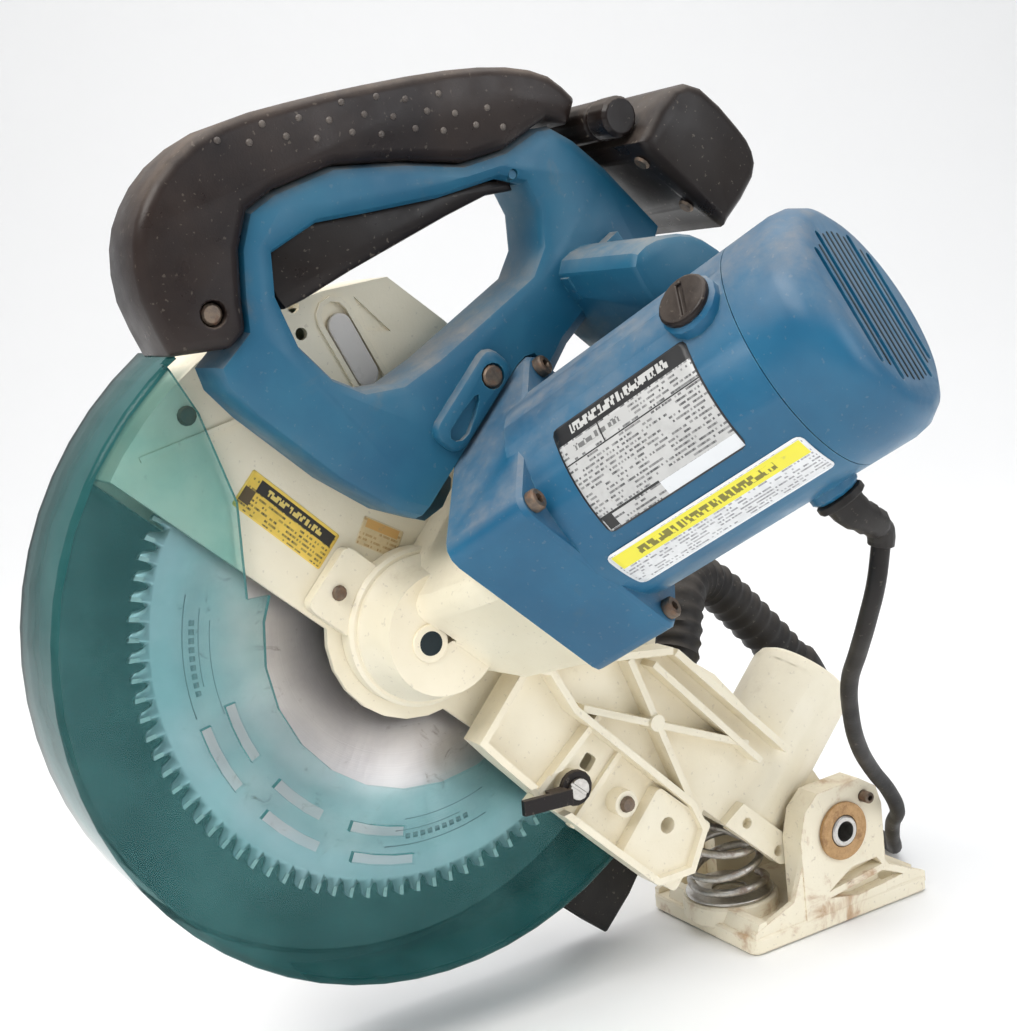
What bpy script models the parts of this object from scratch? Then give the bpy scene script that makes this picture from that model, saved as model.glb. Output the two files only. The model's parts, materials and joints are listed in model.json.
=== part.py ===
"""Head of a slide compound mitre saw, off its base, in its raised rest position.

Row frame: X to the operator's right, Y to the rear, Z up, in metres.
The origin lies on the flat base face of the hinge bracket, under the hinge pin.
The head is modelled level, in millimetres, in (x, b, u): x right, b to the rear and u up from the
blade's centre.  One empty on the hinge pin tilts everything on the head to the raised position.
"""

import math

import bmesh
import bpy
from mathutils import Matrix, Vector

# ---------------------------------------------------------------- driving dimensions, millimetres
MM = 0.001
GAP = 0.3                # running gap between neighbouring pieces

RAISED_DEG = 43.0        # the head's tilt above its lowest position
HINGE_HEIGHT = 49.0      # hinge pin above the base face
HINGE_B = 255.0          # hinge pin behind the blade's centre, head level
HINGE_U = 35.0           # hinge pin above the blade's centre, head level

BLADE_R = 127.5
BLADE_TEETH = 48
BLADE_HALF = 1.2         # half the blade's body thickness
KERF_HALF = 1.6          # half the tooth tip's width
BORE_R = 12.7

CASE_LEFT = -31.0
CASE_RIGHT = 12.0
CASE_WALL = 3.2
CASE_BOTTOM = -24.0
CASE_R = 153.0           # front of the case
CASE_TOP_R = 134.5       # top and rear of the case

GUARD_R = 163.0
GUARD_WALL = 3.0
GUARD_LEFT = -37.0
GUARD_RIGHT = 18.0
GUARD_WINDOW_R = 74.0    # opening of the guard's right wall
GUARD_FRONT_DEG = 168.0
GUARD_REAR_DEG = 351.0

MOTOR_TILT_DEG = 41.0    # the motor's axis rises this much from the blade's axis
FLANGE_START = 81.6      # along the motor's axis, from the blade's centre
FLANGE_END = 122.0
BARREL_END = 226.0
CAP_END = 259.0
MOTOR_R = 50.0

GEAR_TEETH = 33
PINION_TEETH = 11
GEAR_CONE_NEAR = 33.5    # inner and outer cone distance of the bevel teeth
GEAR_CONE_FAR = 39.0

HANDLE_MID = 43.0        # middle plane of the D handle
HANDLE_HALF = 17.0

ARM_PLATE = (19.6, 23.4)
ARM_RIB_TOP = 33.0
SPRING_TUBE_B = 222.0
SPRING_TUBE_R = 27.5

BRACKET_LEFT = -42.0
BRACKET_RIGHT = 44.0
SPRING_SEAT_Y = -41.0
SPRING_SEAT_Z = 16.0

CORD_R = 4.0
COIL_RING_R = 47.5       # middle of the coil's turns
COIL_BUNDLE_R = 13.4     # radius of the bundle of turns

HEAD = None
ARBOR = None


# ---------------------------------------------------------------- scene, empties and materials
def clear_scene():
    for old in list(bpy.data.objects):
        bpy.data.objects.remove(old, do_unlink=True)


def empty(name, parent=None, location=(0, 0, 0), rotation=(0, 0, 0)):
    obj = bpy.data.objects.new(name, None)
    bpy.context.scene.collection.objects.link(obj)
    obj.parent = parent
    obj.location = [v * MM for v in location]
    obj.rotation_euler = rotation
    return obj


def material(name, colour, roughness, metallic=0.0, transmission=0.0):
    mat = bpy.data.materials.get(name)
    if mat:
        return mat
    mat = bpy.data.materials.new(name)
    mat.use_nodes = True
    shader = mat.node_tree.nodes["Principled BSDF"]
    shader.inputs["Base Color"].default_value = (*colour, 1.0)
    shader.inputs["Roughness"].default_value = roughness
    shader.inputs["Metallic"].default_value = metallic
    shader.inputs["Transmission Weight"].default_value = transmission
    return mat


def blue_plastic():
    return material("blue_housing_plastic", (0.02, 0.16, 0.25), 0.42)


def cream_casting():
    return material("cream_painted_casting", (0.80, 0.72, 0.55), 0.45)


def black_plastic():
    return material("black_grip_plastic", (0.03, 0.025, 0.023), 0.45)


def black_rubber():
    return material("black_rubber", (0.02, 0.02, 0.02), 0.65)


def clear_green():
    return material("clear_green_guard", (0.10, 0.55, 0.52), 0.12, 0.0, 0.85)


def steel():
    return material("turned_steel", (0.55, 0.55, 0.56), 0.32, 1.0)


def blade_steel():
    return material("saw_blade_steel", (0.48, 0.46, 0.46), 0.30, 1.0)


def spring_steel():
    return material("spring_steel", (0.50, 0.47, 0.42), 0.35, 1.0)


def rusty_steel():
    return material("rusted_screw_steel", (0.20, 0.10, 0.06), 0.70, 0.6)


def copper():
    return material("copper_winding", (0.55, 0.25, 0.12), 0.40, 0.9)


def carbon():
    return material("brush_carbon", (0.04, 0.04, 0.045), 0.60)


def bronze():
    return material("sintered_bronze_bush", (0.45, 0.30, 0.16), 0.50, 0.9)


def lens_plastic():
    return material("lamp_lens_plastic", (0.75, 0.78, 0.78), 0.25, 0.0, 0.5)


# ---------------------------------------------------------------- outlines
def smooth_loop(points, per=4):
    """A closed Catmull-Rom curve through the points."""
    count = len(points)
    loop = []
    for i in range(count):
        p0, p1, p2, p3 = (Vector(points[(i + k - 1) % count]) for k in range(4))
        for step in range(per):
            t = step / per
            loop.append(
                0.5 * (2 * p1 + (p2 - p0) * t + (2 * p0 - 5 * p1 + 4 * p2 - p3) * t ** 2
                       + (3 * p1 - p0 - 3 * p2 + p3) * t ** 3)
            )
    return [tuple(p) for p in loop]


def smooth_path(points, per=6):
    """An open Catmull-Rom curve through the points, ends included."""
    padded = [Vector(points[0]) * 2 - Vector(points[1])] + [Vector(p) for p in points]
    padded.append(Vector(points[-1]) * 2 - Vector(points[-2]))
    path = []
    for i in range(1, len(padded) - 2):
        p0, p1, p2, p3 = padded[i - 1:i + 3]
        for step in range(per):
            t = step / per
            path.append(
                0.5 * (2 * p1 + (p2 - p0) * t + (2 * p0 - 5 * p1 + 4 * p2 - p3) * t ** 2
                       + (3 * p1 - p0 - 3 * p2 + p3) * t ** 3)
            )
    path.append(padded[-2])
    return path


def arc(radius, start, end, count, centre=(0, 0)):
    return [
        (centre[0] + radius * math.cos(math.radians(start + (end - start) * i / count)),
         centre[1] + radius * math.sin(math.radians(start + (end - start) * i / count)))
        for i in range(count + 1)
    ]


def rounded_box_outline(low_a, high_a, low_b, high_b, radius, count=3):
    corners = [
        (high_a - radius, high_b - radius, 0),
        (low_a + radius, high_b - radius, 90),
        (low_a + radius, low_b + radius, 180),
        (high_a - radius, low_b + radius, 270),
    ]
    loop = []
    for a, b, start in corners:
        loop += arc(radius, start, start + 90, count, (a, b))
    return loop


def obround(a, b, length, radius, angle, count=5):
    """A slot's outline: two half circles joined, with its long axis at the given angle."""
    turn = math.radians(angle)
    loop = []
    for side, start in ((1, -90), (-1, 90)):
        for x, y in arc(radius, start, start + 180, count, (side * length / 2, 0)):
            loop.append((a + x * math.cos(turn) - y * math.sin(turn),
                         b + x * math.sin(turn) + y * math.cos(turn)))
    return loop


def area_of(loop):
    return sum(
        p[0] * q[1] - q[0] * p[1] for p, q in zip(loop, loop[1:] + loop[:1])
    ) / 2


def counterclockwise(loop):
    return list(loop) if area_of(loop) > 0 else list(reversed(loop))


def offset_loop(loop, distance):
    """Moves each corner of a counterclockwise loop outward by the distance."""
    moved = []
    count = len(loop)
    for i in range(count):
        before, here, after = (Vector(loop[(i + k) % count]) for k in (-1, 0, 1))
        first = (here - before).normalized()
        second = (after - here).normalized()
        normal = Vector((first.y + second.y, -first.x - second.x))
        if normal.length < 1e-9:
            normal = Vector((first.y, -first.x))
        normal.normalize()
        along = max(0.5, normal.dot(Vector((first.y, -first.x))))
        moved.append(tuple(here + normal * distance / along))
    return moved


# ---------------------------------------------------------------- solids
IN_X = Matrix(((0, 0, 1, 0), (1, 0, 0, 0), (0, 1, 0, 0), (0, 0, 0, 1)))  # loop in (b, u), depth along x
IN_Z = Matrix.Identity(4)


def motor_frame():
    """Maps (b, n, s) to the head: s along the motor's axis, n upward across it."""
    tilt = math.radians(MOTOR_TILT_DEG)
    axis = Vector((math.cos(tilt), 0, math.sin(tilt)))
    across = Vector((-math.sin(tilt), 0, math.cos(tilt)))
    rear = Vector((0, 1, 0))
    return Matrix((
        (rear.x, across.x, axis.x, 0),
        (rear.y, across.y, axis.y, 0),
        (rear.z, across.z, axis.z, 0),
        (0, 0, 0, 1),
    ))


def frame_towards(origin, direction, up=(0, 0, 1)):
    """A frame at origin, in millimetres, whose third axis is the direction."""
    third = Vector(direction).normalized()
    first = Vector(up).cross(third)
    if first.length < 1e-6:
        first = Vector((1, 0, 0))
    first.normalize()
    second = third.cross(first)
    return Matrix((
        (first.x, second.x, third.x, origin[0]),
        (first.y, second.y, third.y, origin[1]),
        (first.z, second.z, third.z, origin[2]),
        (0, 0, 0, 1),
    ))


def finish_mesh(name, bm, parent, mat, frame, smooth_deg):
    bmesh.ops.remove_doubles(bm, verts=bm.verts, dist=1e-4)
    bm.transform(frame)
    bmesh.ops.recalc_face_normals(bm, faces=bm.faces)
    if bm.calc_volume(signed=True) < 0:
        bmesh.ops.reverse_faces(bm, faces=bm.faces)
    for vert in bm.verts:
        vert.co *= MM
    mesh = bpy.data.meshes.new(name)
    bm.to_mesh(mesh)
    bm.free()
    mesh.shade_smooth()
    mesh.set_sharp_from_angle(angle=math.radians(smooth_deg))
    obj = bpy.data.objects.new(name, mesh)
    bpy.context.scene.collection.objects.link(obj)
    obj.parent = parent
    if mat:
        obj.data.materials.append(mat)
    return obj


def stacked(name, layers, parent, mat=None, frame=IN_X, smooth_deg=35):
    """A solid through layers of (depth, loop), all loops with the same number of points."""
    bm = bmesh.new()
    rings = []
    for depth, loop in layers:
        rings.append([bm.verts.new((p[0], p[1], depth)) for p in loop])
    for low, high in zip(rings, rings[1:]):
        count = len(low)
        for i in range(count):
            j = (i + 1) % count
            bm.faces.new((low[i], low[j], high[j], high[i]))
    bm.faces.new(list(reversed(rings[0])))
    bm.faces.new(rings[-1])
    return finish_mesh(name, bm, parent, mat, frame, smooth_deg)


def prism(name, loop, low, high, parent, mat=None, frame=IN_X, smooth_deg=35):
    loop = counterclockwise(loop)
    return stacked(name, [(low, loop), (high, loop)], parent, mat, frame, smooth_deg)


def rounded_prism(name, loop, low, high, radius, parent, mat=None, frame=IN_X, steps=3):
    """An extruded outline whose two rims are rounded over."""
    loop = counterclockwise(loop)
    layers = []
    for i in range(steps + 1):
        turn = math.radians(90 * i / steps)
        layers.append((low + radius * (1 - math.cos(turn)), radius * (math.sin(turn) - 1)))
    layers += [(high + low - depth, shift) for depth, shift in reversed(layers)]
    return stacked(name, [(depth, offset_loop(loop, shift)) for depth, shift in layers],
                   parent, mat, frame, 40)


def flared_cutter(name, loop, low, high, radius, parent, frame=IN_X, steps=3):
    """A cutter that opens out at both faces, which leaves a rounded rim round its hole."""
    loop = counterclockwise(loop)
    layers = [(low - 2, radius + 0.5)]
    for i in range(steps + 1):
        turn = math.radians(90 * i / steps)
        layers.append((low + radius * (1 - math.cos(turn)), radius * (1 - math.sin(turn))))
    layers += [(high + low - depth, shift) for depth, shift in reversed(layers)]
    return stacked(name, [(depth, offset_loop(loop, shift)) for depth, shift in layers],
                   parent, None, frame)


def turned(name, profile, parent, mat=None, frame=IN_X, steps=20, smooth_deg=35):
    """A turned solid: a closed profile of (radius, height) spun round the frame's third axis."""
    bm = bmesh.new()
    rings = []
    for radius, height in profile:
        if radius < 1e-6:
            rings.append(None)
        else:
            rings.append([
                bm.verts.new((radius * math.cos(2 * math.pi * k / steps),
                              radius * math.sin(2 * math.pi * k / steps), height))
                for k in range(steps)
            ])
    for first, second in zip(rings, rings[1:] + rings[:1]):
        if first is None and second is None:
            continue
        if first is None or second is None:
            bm.faces.new(first or second)
            continue
        for k in range(steps):
            j = (k + 1) % steps
            bm.faces.new((first[k], first[j], second[j], second[k]))
    return finish_mesh(name, bm, parent, mat, frame, smooth_deg)


def at(x, b, u):
    """A frame whose third axis is X, centred at a point of the head."""
    return Matrix.Translation((x, b, u)) @ IN_X


def ring_profile(inner, outer, low, high, chamfer=0.0):
    if chamfer:
        return [(inner, low), (outer - chamfer, low), (outer, low + chamfer),
                (outer, high - chamfer), (outer - chamfer, high), (inner, high)]
    return [(inner, low), (outer, low), (outer, high), (inner, high)]


def disc_profile(radius, low, high, chamfer=0.0):
    return [(0, low)] + ring_profile(0, radius, low, high, chamfer)[1:-1] + [(0, high)]


def use_tool(target, tool, operation):
    tool.hide_render = True
    tool.display_type = "WIRE"
    modifier = target.modifiers.new(operation.lower(), "BOOLEAN")
    modifier.operation = operation
    modifier.solver = "EXACT"
    modifier.object = tool
    return target


def cut(target, *tools):
    for tool in tools:
        use_tool(target, tool, "DIFFERENCE")
    return target


def join(target, *tools):
    for tool in tools:
        use_tool(target, tool, "UNION")
    return target


def swept(name, path, radius, parent, mat, sides=2, scale=None):
    """A round tube along a path, as a bevelled curve with filled caps."""
    curve = bpy.data.curves.new(name, "CURVE")
    curve.dimensions = "3D"
    curve.bevel_depth = radius * MM
    curve.bevel_resolution = sides
    curve.use_fill_caps = True
    spline = curve.splines.new("POLY")
    spline.points.add(len(path) - 1)
    for i, point in enumerate(path):
        spline.points[i].co = (*[v * MM for v in point], 1)
        spline.points[i].radius = scale(i / (len(path) - 1)) if scale else 1.0
    curve.materials.append(mat)
    obj = bpy.data.objects.new(name, curve)
    bpy.context.scene.collection.objects.link(obj)
    obj.parent = parent
    return obj


# ---------------------------------------------------------------- bracket, fixed to the saw's base
def hinge_bracket():
    """Base plate, two ears, spring seat and ribs, in one casting."""
    cream = cream_casting()
    base = rounded_prism("hinge_bracket", rounded_box_outline(BRACKET_LEFT - 0.5, BRACKET_RIGHT + 0.5,
                                                              -62, 57, 5),
                         0, 8.5, 1.0, None, cream, IN_Z, 1)
    ear = [(-27, 5), (-27, 50), (-23, 64), (-14, 72), (14, 73), (25, 66), (28, 56), (28, 5)]
    tools = [
        prism("ear_right", ear, 30, BRACKET_RIGHT, None),
        prism("ear_left", ear, BRACKET_LEFT, -28.5, None),
        prism("cross_wall", [(19.5, 5), (27.4, 5), (27.4, 33), (19.5, 33)], -41.4, 43.4, None),
        turned("seat_boss", disc_profile(25, 5, SPRING_SEAT_Z, 1.0), None, None,
               Matrix.Translation((0, SPRING_SEAT_Y, 0)), 22),
        prism("front_web", [(-60.5, 5), (-52, 5), (-52, 15.5), (-57, 15.5)], -30, 43.2, None),
    ]
    for side, low in (("left_outer", -41.6), ("left_inner", -32.4)):
        tools.append(prism("rear_rib_" + side, [(24, 5), (55.5, 5), (55.5, 12), (24, 50)],
                           low, low + 3.2, None))
    tools.append(prism("rear_rib_right_outer", [(24, 5), (55.5, 5), (55.5, 10.5), (31, 21.5), (24, 30)],
                       40.3, 43.5, None))
    tools.append(prism("rear_rib_right_inner", [(24, 5), (55.5, 5), (55.5, 11), (31, 26), (24, 42)],
                       30.4, 33.6, None))
    for side, low in (("right", 40.0), ("left", -41.4)):
        tools.append(prism("front_rib_" + side, [(-60, 5), (-24, 5), (-24, 44), (-34, 20), (-60, 11)],
                           low, low + 3.4, None))
    join(base, *tools)
    holes = [turned("hinge_bore", disc_profile(11.3, -50, 50), None, None, at(0, 0, HINGE_HEIGHT), 22),
             turned("set_screw_bore", disc_profile(3.3, 29, 50), None, None, at(0, 16, 63), 12),
             turned("seat_bore", disc_profile(6.5, -1, 30), None, None,
                    Matrix.Translation((0, SPRING_SEAT_Y, 0)), 14)]
    for x in (-33, 35):
        for y in (-46, 45):
            holes.append(turned("bolt_hole_%d_%d" % (x, y), disc_profile(4.2, -1, 12), None, None,
                                Matrix.Translation((x + 0.5, y, 0)), 12))
    holes.append(prism("ear_pocket_upper", [(-11, 19), (5, 27.5), (22, 28), (25.5, 23.4)], 36.5, 46, None))
    holes.append(prism("ear_pocket_lower", [(-11, 15.4), (26, 19.8), (40, 13.5), (8, 11.5)], 37.5, 46, None))
    cut(base, *holes)
    return base


def hinge_pieces():
    bush = bronze()
    turned("hinge_bush_right",
           [(8.3, 30.2), (11.0, 30.2), (11.0, 44.3), (15.0, 44.3), (15.0, 46.3), (8.3, 46.3)],
           None, bush, at(0, 0, HINGE_HEIGHT), 22)
    turned("hinge_bush_left",
           [(8.3, -44.3), (15.0, -44.3), (15.0, -42.3), (11.0, -42.3), (11.0, -28.7), (8.3, -28.7)],
           None, bush, at(0, 0, HINGE_HEIGHT), 22)
    turned("hinge_shaft", ring_profile(5.2, 8.0, -47, 47.2, 0.8), None, steel(),
           at(0, 0, HINGE_HEIGHT), 22)
    screw = turned("ear_set_screw", disc_profile(3.0, 31, 49.5, 0.5), None, rusty_steel(),
                   at(0, 16, 63), 12)
    cut(screw, prism("set_screw_socket", arc(1.6, 0, 300, 5), 46, 51, None, None, at(0, 16, 63)))
    turned("spring_seat_washer", ring_profile(9, 23, SPRING_SEAT_Z + GAP, SPRING_SEAT_Z + 2.0, 0.4),
           None, steel(), Matrix.Translation((0, SPRING_SEAT_Y, 0)), 22)


def head_to_row(b, u):
    """(Y, Z) in the row frame, in millimetres, of a point of the raised head."""
    tilt = math.radians(RAISED_DEG)
    behind, above = b - HINGE_B, u - HINGE_U
    return (behind * math.cos(tilt) + above * math.sin(tilt),
            HINGE_HEIGHT - behind * math.sin(tilt) + above * math.cos(tilt))


def spring_centreline(count):
    """From the seat, upright, into the arm's spring tube, along the tube."""
    low = Vector((SPRING_SEAT_Y, SPRING_SEAT_Z + 4.6))
    mouth = Vector(head_to_row(SPRING_TUBE_B, 8))
    top = Vector(head_to_row(SPRING_TUBE_B, 62))
    inward = (top - mouth).normalized()
    bend_length = 31.0
    points = []
    for i in range(count + 1):
        t = i / count
        reach = t * (bend_length + (top - mouth).length)
        if reach < bend_length:
            v = reach / bend_length
            first = low + Vector((0, 1)) * 11
            second = mouth - inward * 11
            points.append((1 - v) ** 3 * low + 3 * (1 - v) ** 2 * v * first
                          + 3 * (1 - v) * v ** 2 * second + v ** 3 * mouth)
        else:
            points.append(mouth + inward * (reach - bend_length))
    return points


def return_spring():
    turns, per_turn, radius = 9, 8, 19.4
    count = turns * per_turn
    line = spring_centreline(count)
    path = []
    for i in range(count + 1):
        here = line[i]
        ahead = line[min(i + 1, count)] - line[max(i - 1, 0)]
        ahead.normalize()
        side = Vector((ahead.y, -ahead.x))
        turn = 2 * math.pi * i / per_turn
        out = side * math.cos(turn) * radius
        path.append((math.sin(turn) * radius, here.x + out.x, here.y + out.y))
    swept("return_spring", path, 2.1, None, spring_steel(), 1)


# ---------------------------------------------------------------- blade, flanges and spindle
def blade_outline():
    loop = []
    pitch = 360 / BLADE_TEETH
    for k in range(BLADE_TEETH):
        for radius, share in ((BLADE_R, 0.0), (BLADE_R - 1.2, 0.36), (BLADE_R - 7.5, 0.72)):
            turn = math.radians(-(k + share) * pitch)
            loop.append((radius * math.cos(turn), radius * math.sin(turn)))
    return loop


def spindle_pieces():
    blade = prism("saw_blade", blade_outline(), -BLADE_HALF, BLADE_HALF, ARBOR, blade_steel())
    tools = [turned("blade_bore", disc_profile(BORE_R, -5, 5), ARBOR, None, IN_X, 22)]
    for k in range(4):
        turn = 20 + 90 * k
        loop = arc(113.0, turn, turn + 9, 4) + list(reversed(arc(110.6, turn, turn + 9, 4)))
        tools.append(prism("expansion_slot_%d" % k, loop, -5, 5, ARBOR))
    cut(blade, *tools)
    turned("inner_flange",
           [(8.3, -1.0), (12.4, -1.0), (12.4, 1.5), (25, 1.5), (25, 4.6), (23.6, 6), (13, 6),
            (13, 9.5), (8.3, 9.5)], ARBOR, steel(), IN_X, 20)
    turned("outer_flange",
           [(8.3, -1.5), (8.3, -6.3), (20, -6.3), (25, -4.4), (25, -1.5), (17, -1.5), (17, -2.3),
            (13.2, -2.3), (13.2, -1.5)], ARBOR, steel(), IN_X, 20)
    bolt = turned("blade_bolt",
                  [(0, 7), (3.8, 7), (3.8, -6.8), (11.5, -6.8), (11.5, -8.6), (9.0, -9.4), (9.0, -9.9),
                   (0, -9.9)], ARBOR, steel(), IN_X, 16)
    head = prism("bolt_head", arc(8.2, 0, 300, 5), -15.4, -9.4, ARBOR)
    socket = prism("bolt_socket", arc(4.0, 0, 300, 5), -17, -11.5, ARBOR)
    cut(join(bolt, head), socket)
    turned("spindle",
           [(4.2, -5.6), (8.0, -5.6), (8.0, 35.2), (5.0, 35.2), (5.0, 38.3), (0, 38.3), (0, 12),
            (4.2, 12)], ARBOR, steel(), IN_X, 16)


def bevel_gear(name, teeth, cone_deg, bore, near_height, far_height, first_deg, parent, mat, frame):
    """Straight bevel teeth whose faces all point to the crossing of the two axes."""
    bm = bmesh.new()
    rings = []
    for distance in (GEAR_CONE_NEAR, GEAR_CONE_FAR):
        ring = []
        for k in range(teeth):
            for share, lift in ((-0.5, -1.4), (0.0, 0.9)):
                turn = math.radians(first_deg + 360 * (k + share) / teeth)
                cone = math.radians(cone_deg + lift)
                radius = distance * math.sin(cone)
                ring.append(bm.verts.new((radius * math.cos(turn), radius * math.sin(turn),
                                          distance * math.cos(cone))))
        rings.append(ring)
    for height in (far_height, near_height):
        ring = []
        for vert in rings[0]:
            turn = math.atan2(vert.co.y, vert.co.x)
            ring.append(bm.verts.new((bore * math.cos(turn), bore * math.sin(turn), height)))
        rings.append(ring)
    count = len(rings[0])
    for low, high in zip(rings, rings[1:] + rings[:1]):
        for i in range(count):
            j = (i + 1) % count
            bm.faces.new((low[i], low[j], high[j], high[i]))
    return finish_mesh(name, bm, parent, mat, frame, 30)


def gears():
    shaft_angle = math.radians(MOTOR_TILT_DEG)
    ratio = GEAR_TEETH / PINION_TEETH
    pinion_cone = math.degrees(math.atan2(math.sin(shaft_angle), ratio + math.cos(shaft_angle)))
    gear_cone = MOTOR_TILT_DEG - pinion_cone
    bevel_gear("driven_gear", GEAR_TEETH, gear_cone, 8.3, 26.6, 34.6, 90, ARBOR, steel(), IN_X)
    bevel_gear("pinion", PINION_TEETH, pinion_cone, 3.3, 33.2, 39.4, 270 + 180 / PINION_TEETH,
               ARBOR, steel(), motor_frame())


# ---------------------------------------------------------------- blade case and guard
def case_outline(inset, bottom):
    """Side view of the blade case: round front, flat front top, closer round top and rear."""
    front = arc(CASE_R - inset, 191, 142, 8)
    top = arc(CASE_TOP_R - inset, 118, 0, 14)
    front[0] = (front[0][0], bottom)
    return ([(-151.0 + inset, bottom)] + front[1:] + [(-100.0 + 0.4 * inset, 117.5 - inset),
            (-66.0, 119.0 - inset)] + top + [(CASE_TOP_R - inset, bottom)])


def blade_case():
    cream = cream_casting()
    case = prism("blade_case", case_outline(0, CASE_BOTTOM), CASE_LEFT, CASE_RIGHT, ARBOR, cream)
    hollow = prism("case_hollow", case_outline(CASE_WALL, CASE_BOTTOM - 30), CASE_LEFT + CASE_WALL,
                   CASE_RIGHT - CASE_WALL, ARBOR)
    cut(case, hollow)
    join(case,
         turned("case_boss_right", disc_profile(43, CASE_RIGHT - CASE_WALL + 0.05, CASE_RIGHT - 0.05),
                ARBOR, None, IN_X, 24),
         turned("case_boss_left", disc_profile(34, CASE_LEFT + 0.05, CASE_LEFT + CASE_WALL - 0.05),
                ARBOR, None, IN_X, 24),
         turned("guard_pivot", disc_profile(26.9, CASE_LEFT - 7.3, CASE_LEFT + 1), ARBOR, None, IN_X, 24))
    ribs = []
    for k, (start, end) in enumerate((((-146, -10), (-112, 40)), ((-112, 40), (-60, 60)))):
        along = (Vector(end) - Vector(start)).normalized()
        side = Vector((-along.y, along.x)) * 1.1
        loop = [tuple(Vector(start) - side), tuple(Vector(end) - side), tuple(Vector(end) + side),
                tuple(Vector(start) + side)]
        ribs.append(prism("case_rib_%d" % k, loop, CASE_RIGHT - 1, CASE_RIGHT + 1.2, ARBOR))
    ribs.append(prism("case_slot_rim", obround(-95, 82, 34, 8.5, -22), CASE_RIGHT - 1,
                      CASE_RIGHT + 1.3, ARBOR))
    join(case, *ribs)
    holes = [turned("case_bore_right", disc_profile(22, 5, 16), ARBOR, None, IN_X, 22),
             turned("case_bore_left", disc_profile(20, -45, -20), ARBOR, None, IN_X, 22),
             prism("case_slot", obround(-95, 82, 34, 6.3, -22), CASE_RIGHT - 1.6, CASE_RIGHT + 4, ARBOR)]
    for k, (b, u) in enumerate(((-127.7, 80.6), (-118.2, 73.4))):
        holes.append(turned("case_hole_%d" % k, disc_profile(2.8, 5, 20), ARBOR, None, at(0, b, u), 10))
    holes.append(prism("case_triangle", [(-108, 101), (-85, 99.5), (-94, 92.7)], CASE_RIGHT - 1.2,
                       CASE_RIGHT + 3, ARBOR))
    for side in (1, -1):
        holes.append(turned("cover_screw_hole_%d" % side, disc_profile(1.6, -45, -30), ARBOR, None,
                            at(0, 23.4 * side, 0), 10))
    holes.append(turned("case_screw_hole", disc_profile(2.3, 5, 20), ARBOR, None, at(0, -140, 16), 10))
    cut(case, *holes)
    return case


def lower_guard():
    green = clear_green()
    sector = [(4, -9)] + arc(GUARD_R, GUARD_FRONT_DEG, GUARD_REAR_DEG, 32)
    guard = prism("lower_guard", sector, GUARD_LEFT, GUARD_RIGHT, ARBOR, green)
    inside = turned("guard_inside", disc_profile(GUARD_R - GUARD_WALL, GUARD_LEFT + GUARD_WALL,
                                                 GUARD_RIGHT - GUARD_WALL), ARBOR, None, IN_X, 40)
    window = turned("guard_window", disc_profile(GUARD_WINDOW_R, 5, 25), ARBOR, None, IN_X, 24)
    front = prism("guard_front_edge", [(-200, 34), (-163, 28), (-138, 19), (-103, -2), (-76, -33),
                                       (-40, 0), (-40, 60), (-200, 60)], 10, 25, ARBOR)
    cut(guard, inside, window, front)
    hub = turned("guard_hub", disc_profile(40, GUARD_LEFT + 0.1, GUARD_LEFT + GUARD_WALL + 0.4),
                 ARBOR, None, IN_X, 24)
    join(guard, hub)
    tools = [turned("guard_hub_bore", disc_profile(27.5, -60, -20), ARBOR, None, IN_X, 24)]
    for row, radius in enumerate((93.0, 106.0)):
        for k in range(3):
            start = 232 + 26 * k + 3 * row
            loop = arc(radius + 2.4, start, start + 17, 3)
            loop += list(reversed(arc(radius - 2.4, start, start + 17, 3)))
            tools.append(prism("guard_vent_%d_%d" % (row, k), loop, 10, 25, ARBOR))
    cut(guard, *tools)
    return guard


def cover_and_screws():
    cover = turned("blade_bolt_cover", [(0, -41.4), (30, -41.4), (33, -40.2), (33, -38.7), (0, -38.7)],
                   ARBOR, cream_casting(), IN_X, 24)
    screws = (("front", -1), ("rear", 1))
    cut(cover, *[turned("cover_hole_" + label, disc_profile(1.9, -50, -30), ARBOR, None,
                        at(0, 23.4 * side, 0), 10) for label, side in screws])
    for label, side in screws:
        turned("cover_screw_" + label,
               [(0, -44.1), (2.6, -44.1), (3.4, -42.8), (3.4, -41.7), (1.4, -41.7), (1.4, -32), (0, -32)],
               ARBOR, steel(), at(0, 23.4 * side, 0), 10)


# ---------------------------------------------------------------- gear housing and bearings
def motor_ring(half_b, low_n, high_n, radius, shift=0.0, count=3):
    return rounded_box_outline(-half_b + shift, half_b + shift, low_n, high_n, radius, count)


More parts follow.
